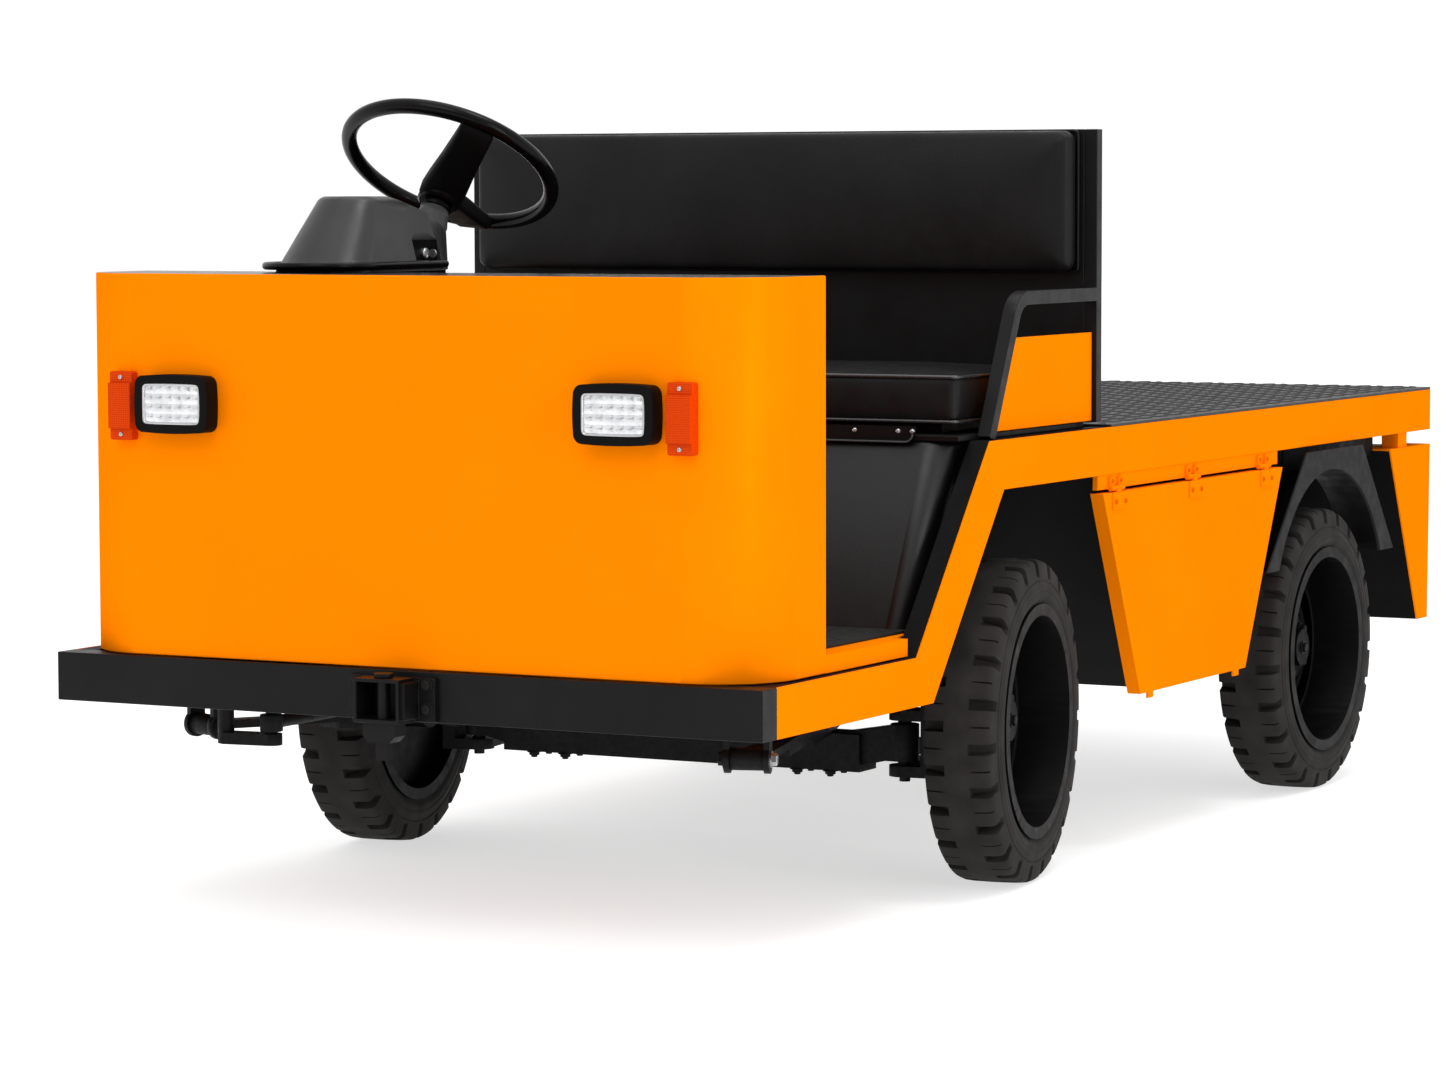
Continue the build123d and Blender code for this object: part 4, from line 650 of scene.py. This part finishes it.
def pad_block(name, low, high, edge, voxel):
    """A block with rounded edges, remeshed into even small faces."""
    box = bmesh.new()
    bmesh.ops.create_cube(box, size=1.0)
    middle = (low + high) / 2
    for vertex in box.verts:
        vertex.co = Vector([middle[i] + vertex.co[i] * (high[i] - low[i]) for i in range(3)])
    bmesh.ops.bevel(box, geom=box.edges[:], offset=edge, segments=EDGE_ROUNDING, profile=0.5, affect="EDGES")
    mesh = bpy.data.meshes.new(name)
    box.to_mesh(mesh)
    box.free()
    obj = bpy.data.objects.new(name, mesh)
    bpy.context.scene.collection.objects.link(obj)
    remesh = obj.modifiers.new("remesh", "REMESH")
    remesh.mode = "VOXEL"
    remesh.voxel_size = voxel
    settled = bpy.data.meshes.new_from_object(obj.evaluated_get(bpy.context.evaluated_depsgraph_get()))
    obj.modifiers.clear()
    obj.data = settled
    return obj


def near_edges(low, high, band):
    """Tells whether a point lies on a block's edges: close to two of its sides at once."""
    def test(point):
        close = 0
        for axis in range(3):
            if min(abs(point[axis] - low[axis]), abs(point[axis] - high[axis])) < band:
                close += 1
        return close > 1
    return test


def swell(obj, held, cap):
    """Fill a pad by cloth pressure, with the held points fixed and no point moved further than a cap."""
    before = [vertex.co.copy() for vertex in obj.data.vertices]
    group = obj.vertex_groups.new(name="held")
    group.add([index for index, point in enumerate(before) if held(point)], 1.0, "REPLACE")
    cloth = obj.modifiers.new("cloth", "CLOTH")
    cloth.settings.use_pressure = True
    cloth.settings.uniform_pressure_force = PRESSURE
    cloth.settings.effector_weights.gravity = 0.0
    cloth.settings.vertex_group_mass = "held"
    cloth.point_cache.frame_start = 1
    cloth.point_cache.frame_end = SWELL_FRAMES
    scene = bpy.context.scene
    for number in range(1, SWELL_FRAMES + 1):
        scene.frame_set(number)
    result = obj.evaluated_get(bpy.context.evaluated_depsgraph_get())
    after = [vertex.co.copy() for vertex in result.data.vertices]
    obj.modifiers.clear()
    scene.frame_set(1)
    for vertex, old, new in zip(obj.data.vertices, before, after):
        move = new - old
        if move.length > cap:
            move *= cap / move.length
        vertex.co = old + move
    obj.data.update()


def soften(obj, slot, node):
    """Finish a pad: one subdivision, smooth faces, its vinyl and its place."""
    rounder = obj.modifiers.new("rounder", "SUBSURF")
    rounder.levels = 1
    rounder.render_levels = 1
    obj.data.polygons.foreach_set("use_smooth", [True] * len(obj.data.polygons))
    obj.data.materials.append(LOOKS[slot])
    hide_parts(node)
    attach(obj, "chassis")


def make_pad(name, node, edge, axis, cap):
    """A filled pad in a node's box, held along its edges and on its low side across an axis."""
    skin = Vector((PAD_SKIN, PAD_SKIN, PAD_SKIN))
    low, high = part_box(node)
    low = low + skin
    high = high - skin
    pad = pad_block(name, low, high, edge, PAD_VOXEL)
    edges = near_edges(low, high, HELD_BAND)
    swell(pad, lambda p: edges(p) or p[axis] < low[axis] + PAD_SKIN, cap)
    soften(pad, "vinyl", node)
    return low, high


def seat_pads():
    """The bench cushion and the back cushion, with their sewn edges."""
    low, high = make_pad("cushion", "seat_cushion", PAD_EDGE, 2, CUSHION_SWELL)
    middle = (low + high) / 2
    half = (high - low) / 2
    for label, height in (("top", high.z - SEAM_INSET), ("bottom", low.z + SEAM_INSET)):
        seam = rounded_loop(
            half.x, half.y, PAD_EDGE,
            lambda a, b: Vector((middle.x + a, middle.y + b, height)),
        )
        # The cushion's piping is lighter than its vinyl, a painted highlight
        piping("cushion_piping_" + label, seam, SEAM_BEAD, True, "vinyl", GLOSSY_PIPING_PAINTED_HIGHLIGHT)
    low, high = make_pad("backrest", "seat_back", BACK_EDGE, 0, BACK_SWELL)
    middle = (low + high) / 2
    half = (high - low) / 2
    seam = rounded_loop(
        half.y, half.z, PAD_EDGE,
        lambda a, b: Vector((low.x + BACK_SEAM_INSET, middle.y + a, middle.z + b)),
    )
    piping("back_piping", seam, BACK_SEAM_BEAD, True, "vinyl")


seat_pads()


# Fittings: heads are (radius, height), places are millimetres
HITCH_BOLT = (6.5 * MM, 7 * MM)
HITCH_BOLT_FACE = -8.0
HITCH_BOLT_SIDES = (-55.5, 55.5)
HITCH_BOLT_HEIGHTS = (311.0, 343.0)
HINGE_STATIONS = (1137.0, 1437.0, 1737.0)
HINGE_SCREW = (3.6 * MM, 2.2 * MM)
HINGE_SCREW_SHIFTS = (-16.0, 16.0)
HINGE_SCREW_SIDE = 552.0
HINGE_SCREW_HEIGHT = 561.5
DOOR_SCREW = (4 * MM, 2.4 * MM)
DOOR_SCREW_SHIFTS = (-18.0, 18.0)
DOOR_SCREW_SIDE = 559.0
DOOR_SCREW_HEIGHT = 531.0
LAMP_SCREW = (3.4 * MM, 2.4 * MM)
LAMP_SCREW_FACE = -5.0
LAMP_SCREW_SIDE = 434.0
LAMP_SCREW_HEIGHTS = (663.0, 741.0)
SPRING_EYE = (188.0, 430.0, 244.0)
SPRING_RUN = Vector((-0.3167, 0.9485, 0.0))
EAR_FACE = 30.8 * MM
EYE_BOLT = (8.5 * MM, 9 * MM)
EYE_NUT = (9.5 * MM, 9 * MM)
AXLE_STATION = 811.0
CLAMP_NUT = (8 * MM, 6 * MM)
CLAMP_END = ((5, 0), (5, 8), (4, 9))
CLAMP_SHIFTS = (-22.0, 22.0)
CLAMP_SIDES = (196.0, 250.0)
CLAMP_FOOT = 150.0
STRIP_SCREW = (3.8 * MM, 3 * MM)
STRIP_SCREW_FACE = 656.2
STRIP_SCREW_SIDES = (356.0, 424.0, 446.0)
STRIP_SCREW_HEIGHT = 655.0
LINER_CORNERS = ((1752.0, 535.0), (2341.0, 535.0), (2341.0, 573.0), (1752.0, 573.0))
LINER_SIDE = 515.0
LINER_T = 3 * MM
KINGPIN_BOLT = (6 * MM, 6 * MM)
KINGPIN_SIDE = 360.0
KINGPIN_TOP = 259.0


def chassis_fittings():
    """Bolts and screws on the frame, in dark, bright and painted finishes, the orange screws a darker orange
    as painted shade, and the liners of its arches.
    """
    dark = ([], [])
    bright = ([], [])
    painted = ([], [])
    liners = ([], [])
    for y in HITCH_BOLT_SIDES:
        for height in HITCH_BOLT_HEIGHTS:
            hex_bolt(dark, spot(HITCH_BOLT_FACE, y, height), AHEAD, *HITCH_BOLT)
    for side in (1, -1):
        out = LEFT * side
        for station in HINGE_STATIONS:
            for shift in HINGE_SCREW_SHIFTS:
                place = spot(station + shift, side * HINGE_SCREW_SIDE, HINGE_SCREW_HEIGHT)
                round_screw(painted, place, out, *HINGE_SCREW)
        for height in LAMP_SCREW_HEIGHTS:
            round_screw(bright, spot(LAMP_SCREW_FACE, side * LAMP_SCREW_SIDE, height), AHEAD, *LAMP_SCREW)
        run = Vector((SPRING_RUN.x, side * SPRING_RUN.y, 0))
        eye = spot(SPRING_EYE[0], side * SPRING_EYE[1], SPRING_EYE[2])
        hex_bolt(bright, eye + run * EAR_FACE, run, *EYE_BOLT)
        hex_bolt(dark, eye - run * EAR_FACE, -run, *EYE_NUT)
        for shift in CLAMP_SHIFTS:
            for y in CLAMP_SIDES:
                under = spot(AXLE_STATION + shift, side * y, CLAMP_FOOT)
                hex_bolt(dark, under, -UP, *CLAMP_NUT)
                turned(dark, under, -UP, in_metres(CLAMP_END), 12)
        for y in STRIP_SCREW_SIDES:
            round_screw(bright, spot(STRIP_SCREW_FACE, side * y, STRIP_SCREW_HEIGHT), AHEAD, *STRIP_SCREW)
    for side in (1, -1):
        corners = [spot(station, side * LINER_SIDE, height) for station, height in LINER_CORNERS]
        slab(liners, corners, LEFT * side * LINER_T)
    add_piece("arch_liners", *liners, "black_frame", "chassis", look=DULL_BLACK_AND_PAINTED_SHADE)
    add_piece("dark_fittings", *dark, "axle_steel", "chassis")
    add_piece("bright_fittings", *bright, "bright_steel", "chassis")
    add_piece("painted_fittings", *painted, "orange_paint", "chassis", look=ORANGE_PAINTED_SHADE)


def moving_fittings():
    """Screws on the doors' hinge plates and kingpin bolts."""
    for label, side in (("left", 1), ("right", -1)):
        screws = ([], [])
        for station in HINGE_STATIONS:
            for shift in DOOR_SCREW_SHIFTS:
                place = spot(station + shift, side * DOOR_SCREW_SIDE, DOOR_SCREW_HEIGHT)
                round_screw(screws, place, LEFT * side, *DOOR_SCREW)
        # The door screws' darker orange is painted shade
        add_piece("door_screws_" + label, *screws, "orange_paint", "door_" + label, look=ORANGE_PAINTED_SHADE)
        bolt = ([], [])
        hex_bolt(bolt, spot(AXLE_STATION, side * KINGPIN_SIDE, KINGPIN_TOP), UP, *KINGPIN_BOLT)
        add_piece("kingpin_bolt_" + label, *bolt, "bright_steel", "knuckle_" + label)


# Steering wheel: profiles are (radius, height) up the column, places along it from the hub's middle
STEER_AXIS = Vector((-0.5446, 0.0, 0.8387))
STEER_HUB = spot(492.0, -225.0, 993.0)
HUB_RING = ((27, 0), (30, 3), (30, 7), (27, 9))
HUB_RING_PLACE = -22 * MM
HUB_CAP = ((26, 0), (26, 5), (21, 8), (8, 9.5))
HUB_CAP_PLACE = 22 * MM
COLLAR = ((19.5, 0), (22, 2), (22, 6), (18, 9))
COLLAR_PLACE = -33 * MM
COLLAR_SIDES = 32
BOOT = ((26.0, 0), (24.4, 9), (25.2, 11), (22.6, 22), (23.4, 24), (20.4, 34), (18.0, 36))
BOOT_PLACE = -67 * MM
HUB_SIDES = 40
SPOKE_ANGLES = (100.0, 315.0)
RIM_DISH = 45.0
HUB_INNER = 13.5
RIM_RADIUS = 151.0
SPOKE_SECTIONS = (
    # distance from the hub's middle, half-width, drop below and rise above the spoke's line, in millimetres
    (8.0, 32.0, 19.0, 7.0), (34.0, 31.0, 19.0, 7.0), (70.0, 28.0, 18.0, 7.0), (110.0, 26.0, 17.5, 6.5),
    (137.0, 25.0, 17.0, 6.0), (149.0, 24.5, 6.0, 6.0),
)
SPOKE_CORNER = 6.0
SPOKE_FLAT = 0.5


def steering_fittings():
    """The ring and cap on the steering hub, and the collar and folded boot on the column below it."""
    ring = ([], [])
    turned(ring, STEER_HUB + STEER_AXIS * HUB_RING_PLACE, STEER_AXIS, in_metres(HUB_RING), HUB_SIDES)
    turned(ring, STEER_HUB + STEER_AXIS * HUB_CAP_PLACE, STEER_AXIS, in_metres(HUB_CAP), HUB_SIDES)
    add_piece("hub_ring", *ring, "black_moulding", "steering_wheel")
    collar = ([], [])
    turned(collar, STEER_HUB + STEER_AXIS * COLLAR_PLACE, STEER_AXIS, in_metres(COLLAR), COLLAR_SIDES)
    add_piece("column_collar", *collar, "black_moulding", "chassis")
    boot = ([], [])
    turned(boot, STEER_HUB + STEER_AXIS * BOOT_PLACE, STEER_AXIS, in_metres(BOOT), HUB_SIDES)
    add_piece("column_boot", *boot, "grey_moulding", "chassis", look=BOOT_GREY_AND_PAINTED_HIGHLIGHT)


def spoke_covers():
    """Moulded shells over the steering wheel's spokes, widest at the hub."""
    vertices = []
    faces = []
    rear = STEER_AXIS.cross(LEFT)
    for angle in SPOKE_ANGLES:
        out = LEFT * math.cos(math.radians(angle)) + rear * math.sin(math.radians(angle))
        across = STEER_AXIS.cross(out)
        start = len(vertices)
        for reach, half, drop, rise in SPOKE_SECTIONS:
            line = RIM_DISH * (reach - HUB_INNER) / (RIM_RADIUS - HUB_INNER)
            middle = line + (rise - drop) / 2
            tall = (rise + drop) / 2
            corner = min(SPOKE_CORNER, tall - SPOKE_FLAT)
            loop = rounded_loop(half, tall, corner, lambda a, b: (a, b))
            for a, b in loop:
                vertices.append(STEER_HUB + (out * reach + across * a + STEER_AXIS * (middle + b)) * MM)
        count = len(loop)
        for section in range(len(SPOKE_SECTIONS) - 1):
            low = start + section * count
            for index in range(count):
                after = (index + 1) % count
                faces.append((low + index, low + after, low + count + after, low + count + index))
        faces.append(tuple(start + index for index in reversed(range(count))))
        last = start + (len(SPOKE_SECTIONS) - 1) * count
        faces.append(tuple(last + index for index in range(count)))
    add_piece("spoke_covers", vertices, faces, "black_moulding", "steering_wheel",
              sharp=40.0, look=DULL_BLACK_AND_PAINTED_SHADE)


# Steering pod, in millimetres: stations and distances from the pod's middle
POD_Y = -225.0
BRIM_SIDES = ((384.0, 73.0), (300.0, 74.0), (236.0, 76.0))
BRIM_CENTRE = 184.2
BRIM_ROUND = 80.2
BRIM_SWEEP = 188.0
BRIM_STEPS = 24
BRIM_HEIGHT = 891.0
BRIM_BEAD = 5.5 * MM
TRAY_PLAN = ((207.0, 70.0), (385.0, 70.0), (467.0, 22.0), (467.0, -22.0), (385.0, -70.0), (207.0, -70.0))
TRAY_HEIGHTS = (859.0, 883.0)
KEY_PLATE = (315.0, 379.0, 889.0, 925.0)
KEY_PLATE_FACE = 60.0
KEY_PLATE_T = 1.2 * MM
LOCK_PLACE = spot(346.0, -164.0, 906.0)
LOCK_PROFILE = ((7.5, 0), (7.5, 3.0), (6.5, 4.2), (5.0, 4.2), (4.6, 3.4), (2.0, 3.4))
LOCK_SIDES = 28
BLADE_REACH = (3.0, 17.0)
BLADE_SECTION = ((-1.0, -3.0), (1.0, -3.0), (1.0, 3.0), (-1.0, 3.0))
BLADE_FACES = ((0, 1, 5, 4), (1, 2, 6, 5), (2, 3, 7, 6), (3, 0, 4, 7), (4, 5, 6, 7))
BOW_PROFILE = ((6, 0), (6, 2.4))
BOW_REACH = 14 * MM
BOW_BACK = 1.2 * MM
BOW_SIDES = 20


def pod_trim():
    """The pod's black rolled brim, its tray behind the dash and the plate round its lock."""
    points = [spot(station, POD_Y + reach, BRIM_HEIGHT) for station, reach in BRIM_SIDES]
    for step in range(BRIM_STEPS + 1):
        angle = math.radians(BRIM_SWEEP / 2 - BRIM_SWEEP * step / BRIM_STEPS)
        station = BRIM_CENTRE - BRIM_ROUND * math.cos(angle)
        points.append(spot(station, POD_Y + BRIM_ROUND * math.sin(angle), BRIM_HEIGHT))
    points.extend(spot(station, POD_Y - reach, BRIM_HEIGHT) for station, reach in reversed(BRIM_SIDES))
    piping("pod_brim", points, BRIM_BEAD, False, "black_moulding")
    trim = ([], [])
    low, high = TRAY_HEIGHTS
    slab(trim, [spot(station, POD_Y + y, low) for station, y in TRAY_PLAN], UP * (high - low) * MM)
    front, back, foot, top = KEY_PLATE
    face = POD_Y + KEY_PLATE_FACE
    corners = [spot(front, face, foot), spot(front, face, top), spot(back, face, top), spot(back, face, foot)]
    slab(trim, corners, LEFT * KEY_PLATE_T)
    add_piece("pod_trim", *trim, "black_moulding", "chassis")


def key_switch():
    """The lock in the pod's sunk panel, with its key."""
    bright = ([], [])
    turned(bright, LOCK_PLACE, LEFT, in_metres(LOCK_PROFILE), LOCK_SIDES)
    vertices, faces = bright
    start = len(vertices)
    for y in BLADE_REACH:
        for x, z in BLADE_SECTION:
            vertices.append(LOCK_PLACE + Vector((x * MM, y * MM, z * MM)))
    for corners in BLADE_FACES:
        faces.append(tuple(start + corner for corner in corners))
    turned(bright, LOCK_PLACE + LEFT * BOW_REACH - AHEAD * BOW_BACK, AHEAD, in_metres(BOW_PROFILE), BOW_SIDES)
    add_piece("key_switch", vertices, faces, "bright_steel", "chassis")


# Strip under the bench, in millimetres
STRIP_HALF = 450.0
STRIP_TOP = 662.0
STRIP_FOOT = 643.0
STRIP_CORNER = 12.0
STRIP_BACK = 659.0
STRIP_FACE = 656.4
LIP_FACE = 648.0
LIP_SECTION = ((STRIP_FACE, 0.0), (LIP_FACE, -1.5), (LIP_FACE, -3.2), (STRIP_FACE, -2.0))
# The pale bead along the lip is a painted highlight
LIP_BEAD = 1.3 * MM
LIP_BEAD_FACE = 647.6
LIP_BEAD_DROP = 2.4


def seat_strip():
    """The folded strip under the front of the bench, with round lower corners, a turned-out lip and a pale
    bead on the lip as a painted highlight.
    """
    lip = []
    for side, first in ((1, 0.0), (-1, math.pi / 2)):
        for part in range(CORNER_STEPS + 1):
            angle = first + math.pi / 2 / CORNER_STEPS * part
            y = side * (STRIP_HALF - STRIP_CORNER) + STRIP_CORNER * math.cos(angle)
            z = STRIP_FOOT + STRIP_CORNER - STRIP_CORNER * math.sin(angle)
            lip.append((y, z))
    outline = [(-STRIP_HALF, STRIP_TOP), (STRIP_HALF, STRIP_TOP)] + lip
    count = len(outline)
    vertices = [spot(STRIP_BACK, y, z) for y, z in outline]
    vertices.extend(spot(STRIP_FACE, y, z) for y, z in outline)
    faces = [tuple(range(count)), tuple(count + i for i in reversed(range(count)))]
    faces.extend((i, count + i, count + (i + 1) % count, (i + 1) % count) for i in range(count))
    start = len(vertices)
    for station, drop in LIP_SECTION:
        vertices.extend(spot(station, y, z + drop) for y, z in lip)
    run = len(lip)
    rings = len(LIP_SECTION)
    for ring in range(rings):
        low = start + ring * run
        high = start + (ring + 1) % rings * run
        faces.extend((low + i, low + i + 1, high + i + 1, high + i) for i in range(run - 1))
    add_piece("seat_strip", vertices, faces, "black_frame", "chassis")
    # A pale grey bead on the lip's front edge, as a painted highlight
    edge = [spot(LIP_BEAD_FACE, y, z - LIP_BEAD_DROP) for y, z in lip]
    piping("strip_edge", edge, LIP_BEAD, False, "black_frame", BOOT_GREY_AND_PAINTED_HIGHLIGHT)


# Lamps
LAMP_Y = 343.0 * MM
LENS_CELLS = (6, 4)
CELL_PARTS = 8
LENS_INSET = 1.5 * MM
LENS_FOOT = 0.6 * MM
LENS_BACK = 1 * MM
LENS_BARREL_Y = 0.03
LENS_BARREL_Z = 0.04
PILLOW_RISE = 1.6
BOW_RISE = 1.0
LENS_RIM_INSET = 1 * MM
LENS_RIM_CORNER = 6 * MM
LENS_RIM_FACE = 1.6 * MM
LENS_RIM_BEAD = 2.0 * MM


def lens_point(u, v, middle, half, face):
    """A point of a lens's face from its shares across and up, each from -1 to 1 over the lens."""
    across_cell = 2 * ((u + 1) / 2 * LENS_CELLS[0] % 1.0) - 1
    up_cell = 2 * ((v + 1) / 2 * LENS_CELLS[1] % 1.0) - 1
    dome = (1 - across_cell ** 4) * (1 - up_cell ** 4)
    bow = 1 - u ** 2 * v ** 2
    y = middle[0] + u * half[0] * (1 - LENS_BARREL_Y + LENS_BARREL_Y * (1 - v ** 2))
    z = middle[1] + v * half[1] * (1 - LENS_BARREL_Z + LENS_BARREL_Z * (1 - u ** 2))
    return Vector((face - LENS_FOOT + (PILLOW_RISE * dome + BOW_RISE * bow) * MM, y, z))


def lamp_lenses():
    """Pressed glass in small pillows inside a plain border, one for each lamp."""
    low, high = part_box("headlamp_lenses")
    half_y = high.y - LAMP_Y - LENS_INSET
    half_z = (high.z - low.z) / 2 - LENS_INSET
    middle_z = (high.z + low.z) / 2
    across = LENS_CELLS[0] * CELL_PARTS
    tall = LENS_CELLS[1] * CELL_PARTS
    for label, side in (("left", 1), ("right", -1)):
        middle_y = side * LAMP_Y
        vertices = []
        for row in range(tall + 1):
            for column in range(across + 1):
                u = 2 * (column / across) - 1
                v = 2 * (row / tall) - 1
                vertices.append(lens_point(u, v, (middle_y, middle_z), (half_y, half_z), high.x))
        faces = []
        for row in range(tall):
            for column in range(across):
                first = row * (across + 1) + column
                faces.append((first, first + 1, first + across + 2, first + across + 1))
        border = list(range(across + 1))
        border += [(row + 1) * (across + 1) + across for row in range(tall)]
        border += [tall * (across + 1) + column for column in reversed(range(across))]
        border += [row * (across + 1) for row in reversed(range(1, tall))]
        start = len(vertices)
        vertices.extend(Vector((low.x + LENS_BACK, vertices[i].y, vertices[i].z)) for i in border)
        count = len(border)
        for index in range(count):
            after = (index + 1) % count
            faces.append((border[after], border[index], start + index, start + after))
        faces.append(tuple(start + index for index in reversed(range(count))))
        lens = add_piece("lens_" + label, vertices, faces, "lamp_lens", "chassis", sharp=60.0)
        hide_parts("headlamp_lenses")
        rim = rounded_loop(
            half_y - LENS_RIM_INSET, half_z - LENS_RIM_INSET, LENS_RIM_CORNER,
            lambda a, b: Vector((high.x + LENS_RIM_FACE, middle_y + a, middle_z + b)),
        )
        piping("lens_frame_" + label, rim, LENS_RIM_BEAD, True, "bright_steel")


# Pedals: the middle and width of each, and the slope of their faces, in millimetres
PEDALS = ((-150.0, 60.0), (-300.0, 70.0))
PEDAL_FOOT = (240.0, 385.0)
PEDAL_RUN = (90.0, 120.0)
RIB_COUNT = 8
RIB_FIRST = 34.0 * MM
RIB_PITCH = 14.5 * MM
RIB_MARGIN = 5
RIB_SECTION = ((-3.0, 0.0), (-1.8, 2.2), (1.8, 2.2), (3.0, 0.0))


def pedal_ribs():
    """Moulded ribs across each pedal's face."""
    vertices = []
    faces = []
    slope = Vector((PEDAL_RUN[0], 0.0, PEDAL_RUN[1])).normalized()
    normal = Vector((-PEDAL_RUN[1], 0.0, PEDAL_RUN[0])).normalized()
    for middle, width in PEDALS:
        foot = spot(PEDAL_FOOT[0], middle, PEDAL_FOOT[1])
        half = LEFT * (width / 2 - RIB_MARGIN) * MM
        for step in range(RIB_COUNT):
            along = foot + slope * (RIB_FIRST + step * RIB_PITCH)
            start = len(vertices)
            for shift, lift in RIB_SECTION:
                crest = along + slope * shift * MM + normal * lift * MM
                vertices.extend((crest - half, crest + half))
            for part in range(len(RIB_SECTION) - 1):
                low = start + 2 * part
                faces.append((low, low + 1, low + 3, low + 2))
            faces.append((start, start + 2, start + 4, start + 6))
            faces.append((start + 7, start + 5, start + 3, start + 1))
    add_piece("pedal_ribs", vertices, faces, "floor_rubber", "chassis")


chassis_fittings()
moving_fittings()
steering_fittings()
spoke_covers()
pod_trim()
key_switch()
seat_strip()
lamp_lenses()
pedal_ribs()


# Studio
SKY_TOWARD = (-0.46, -0.25, 0.7)
SKY_LIFT = 0.42
SKY_DIM = (0.36, 0.36, 0.36, 1)
SKY_BRIGHT = (1, 1, 1, 1)
SKY_BRIGHT_FROM = 0.3
SKY_STRENGTH = 1.02
FLOOR_HALF = 40.0
FLOOR_GLOW = 0.62
FLOOR_LIGHT = (1, 1, 1, 1)


def studio_sky():
    """A bright sky, dimmer in front of the truck."""
    world = bpy.data.worlds.new("studio")
    bpy.context.scene.world = world
    world.use_nodes = True
    tree = world.node_tree
    coords = tree.nodes.new("ShaderNodeTexCoord")
    toward = tree.nodes.new("ShaderNodeVectorMath")
    toward.operation = "DOT_PRODUCT"
    toward.inputs[1].default_value = SKY_TOWARD
    tree.links.new(coords.outputs["Generated"], toward.inputs[0])
    lifted = tree.nodes.new("ShaderNodeMath")
    lifted.operation = "ADD"
    lifted.inputs[1].default_value = SKY_LIFT
    tree.links.new(toward.outputs["Value"], lifted.inputs[0])
    ramp = tree.nodes.new("ShaderNodeValToRGB")
    ramp.color_ramp.elements[0].position = 0.0
    ramp.color_ramp.elements[0].color = SKY_DIM
    ramp.color_ramp.elements[1].position = SKY_BRIGHT_FROM
    ramp.color_ramp.elements[1].color = SKY_BRIGHT
    tree.links.new(lifted.outputs["Value"], ramp.inputs["Fac"])
    background = tree.nodes["Background"]
    tree.links.new(ramp.outputs["Color"], background.inputs["Color"])
    background.inputs["Strength"].default_value = SKY_STRENGTH


def softbox(name, place, target, width, height, power):
    """A soft light panel that looks at a point."""
    light = bpy.data.lights.new(name, "AREA")
    light.shape = "RECTANGLE"
    light.size = width
    light.size_y = height
    light.energy = power
    obj = bpy.data.objects.new(name, light)
    bpy.context.scene.collection.objects.link(obj)
    obj.location = place
    obj.rotation_euler = (Vector(target) - Vector(place)).to_track_quat("-Z", "Y").to_euler()


def floor_look():
    """A pale lit table."""
    material = finish("floor", FLOOR_TONE, PALE_FLOOR_TONE, rough=(0.7, 0.8), specular=0.05,
                      grain=40.0, depth=0.0002, strength=0.05)
    shader = material.node_tree.nodes["Principled BSDF"]
    shader.inputs["Emission Color"].default_value = FLOOR_LIGHT
    shader.inputs["Emission Strength"].default_value = FLOOR_GLOW
    return material


studio_sky()
softbox("key", place=(5.0, 0.5, 5.0), target=(0.6, 0, 0.5), width=3.5, height=3.5, power=85.0)
softbox("strip", place=(2.6, 4.4, 1.25), target=(0.3, 0.3, 0.9), width=0.45, height=2.4, power=40.0)
softbox("top", place=(0.0, 0.0, 6.0), target=(0.0, 0.0, 0.0), width=4.0, height=4.0, power=60.0)
softbox("upper", place=(0.3, 2.1, 5.6), target=(0.6, 0.2, 0.8), width=1.3, height=1.3, power=60.0)

floor_mesh = bpy.data.meshes.new("floor")
floor_corners = [(FLOOR_HALF * x, FLOOR_HALF * y, 0) for x, y in ((-1, -1), (1, -1), (1, 1), (-1, 1))]
floor_mesh.from_pydata(floor_corners, [], [(0, 1, 2, 3)])
floor = bpy.data.objects.new("floor", floor_mesh)
bpy.context.scene.collection.objects.link(floor)
floor.data.materials.append(floor_look())
bpy.context.scene.view_settings.view_transform = "Standard"
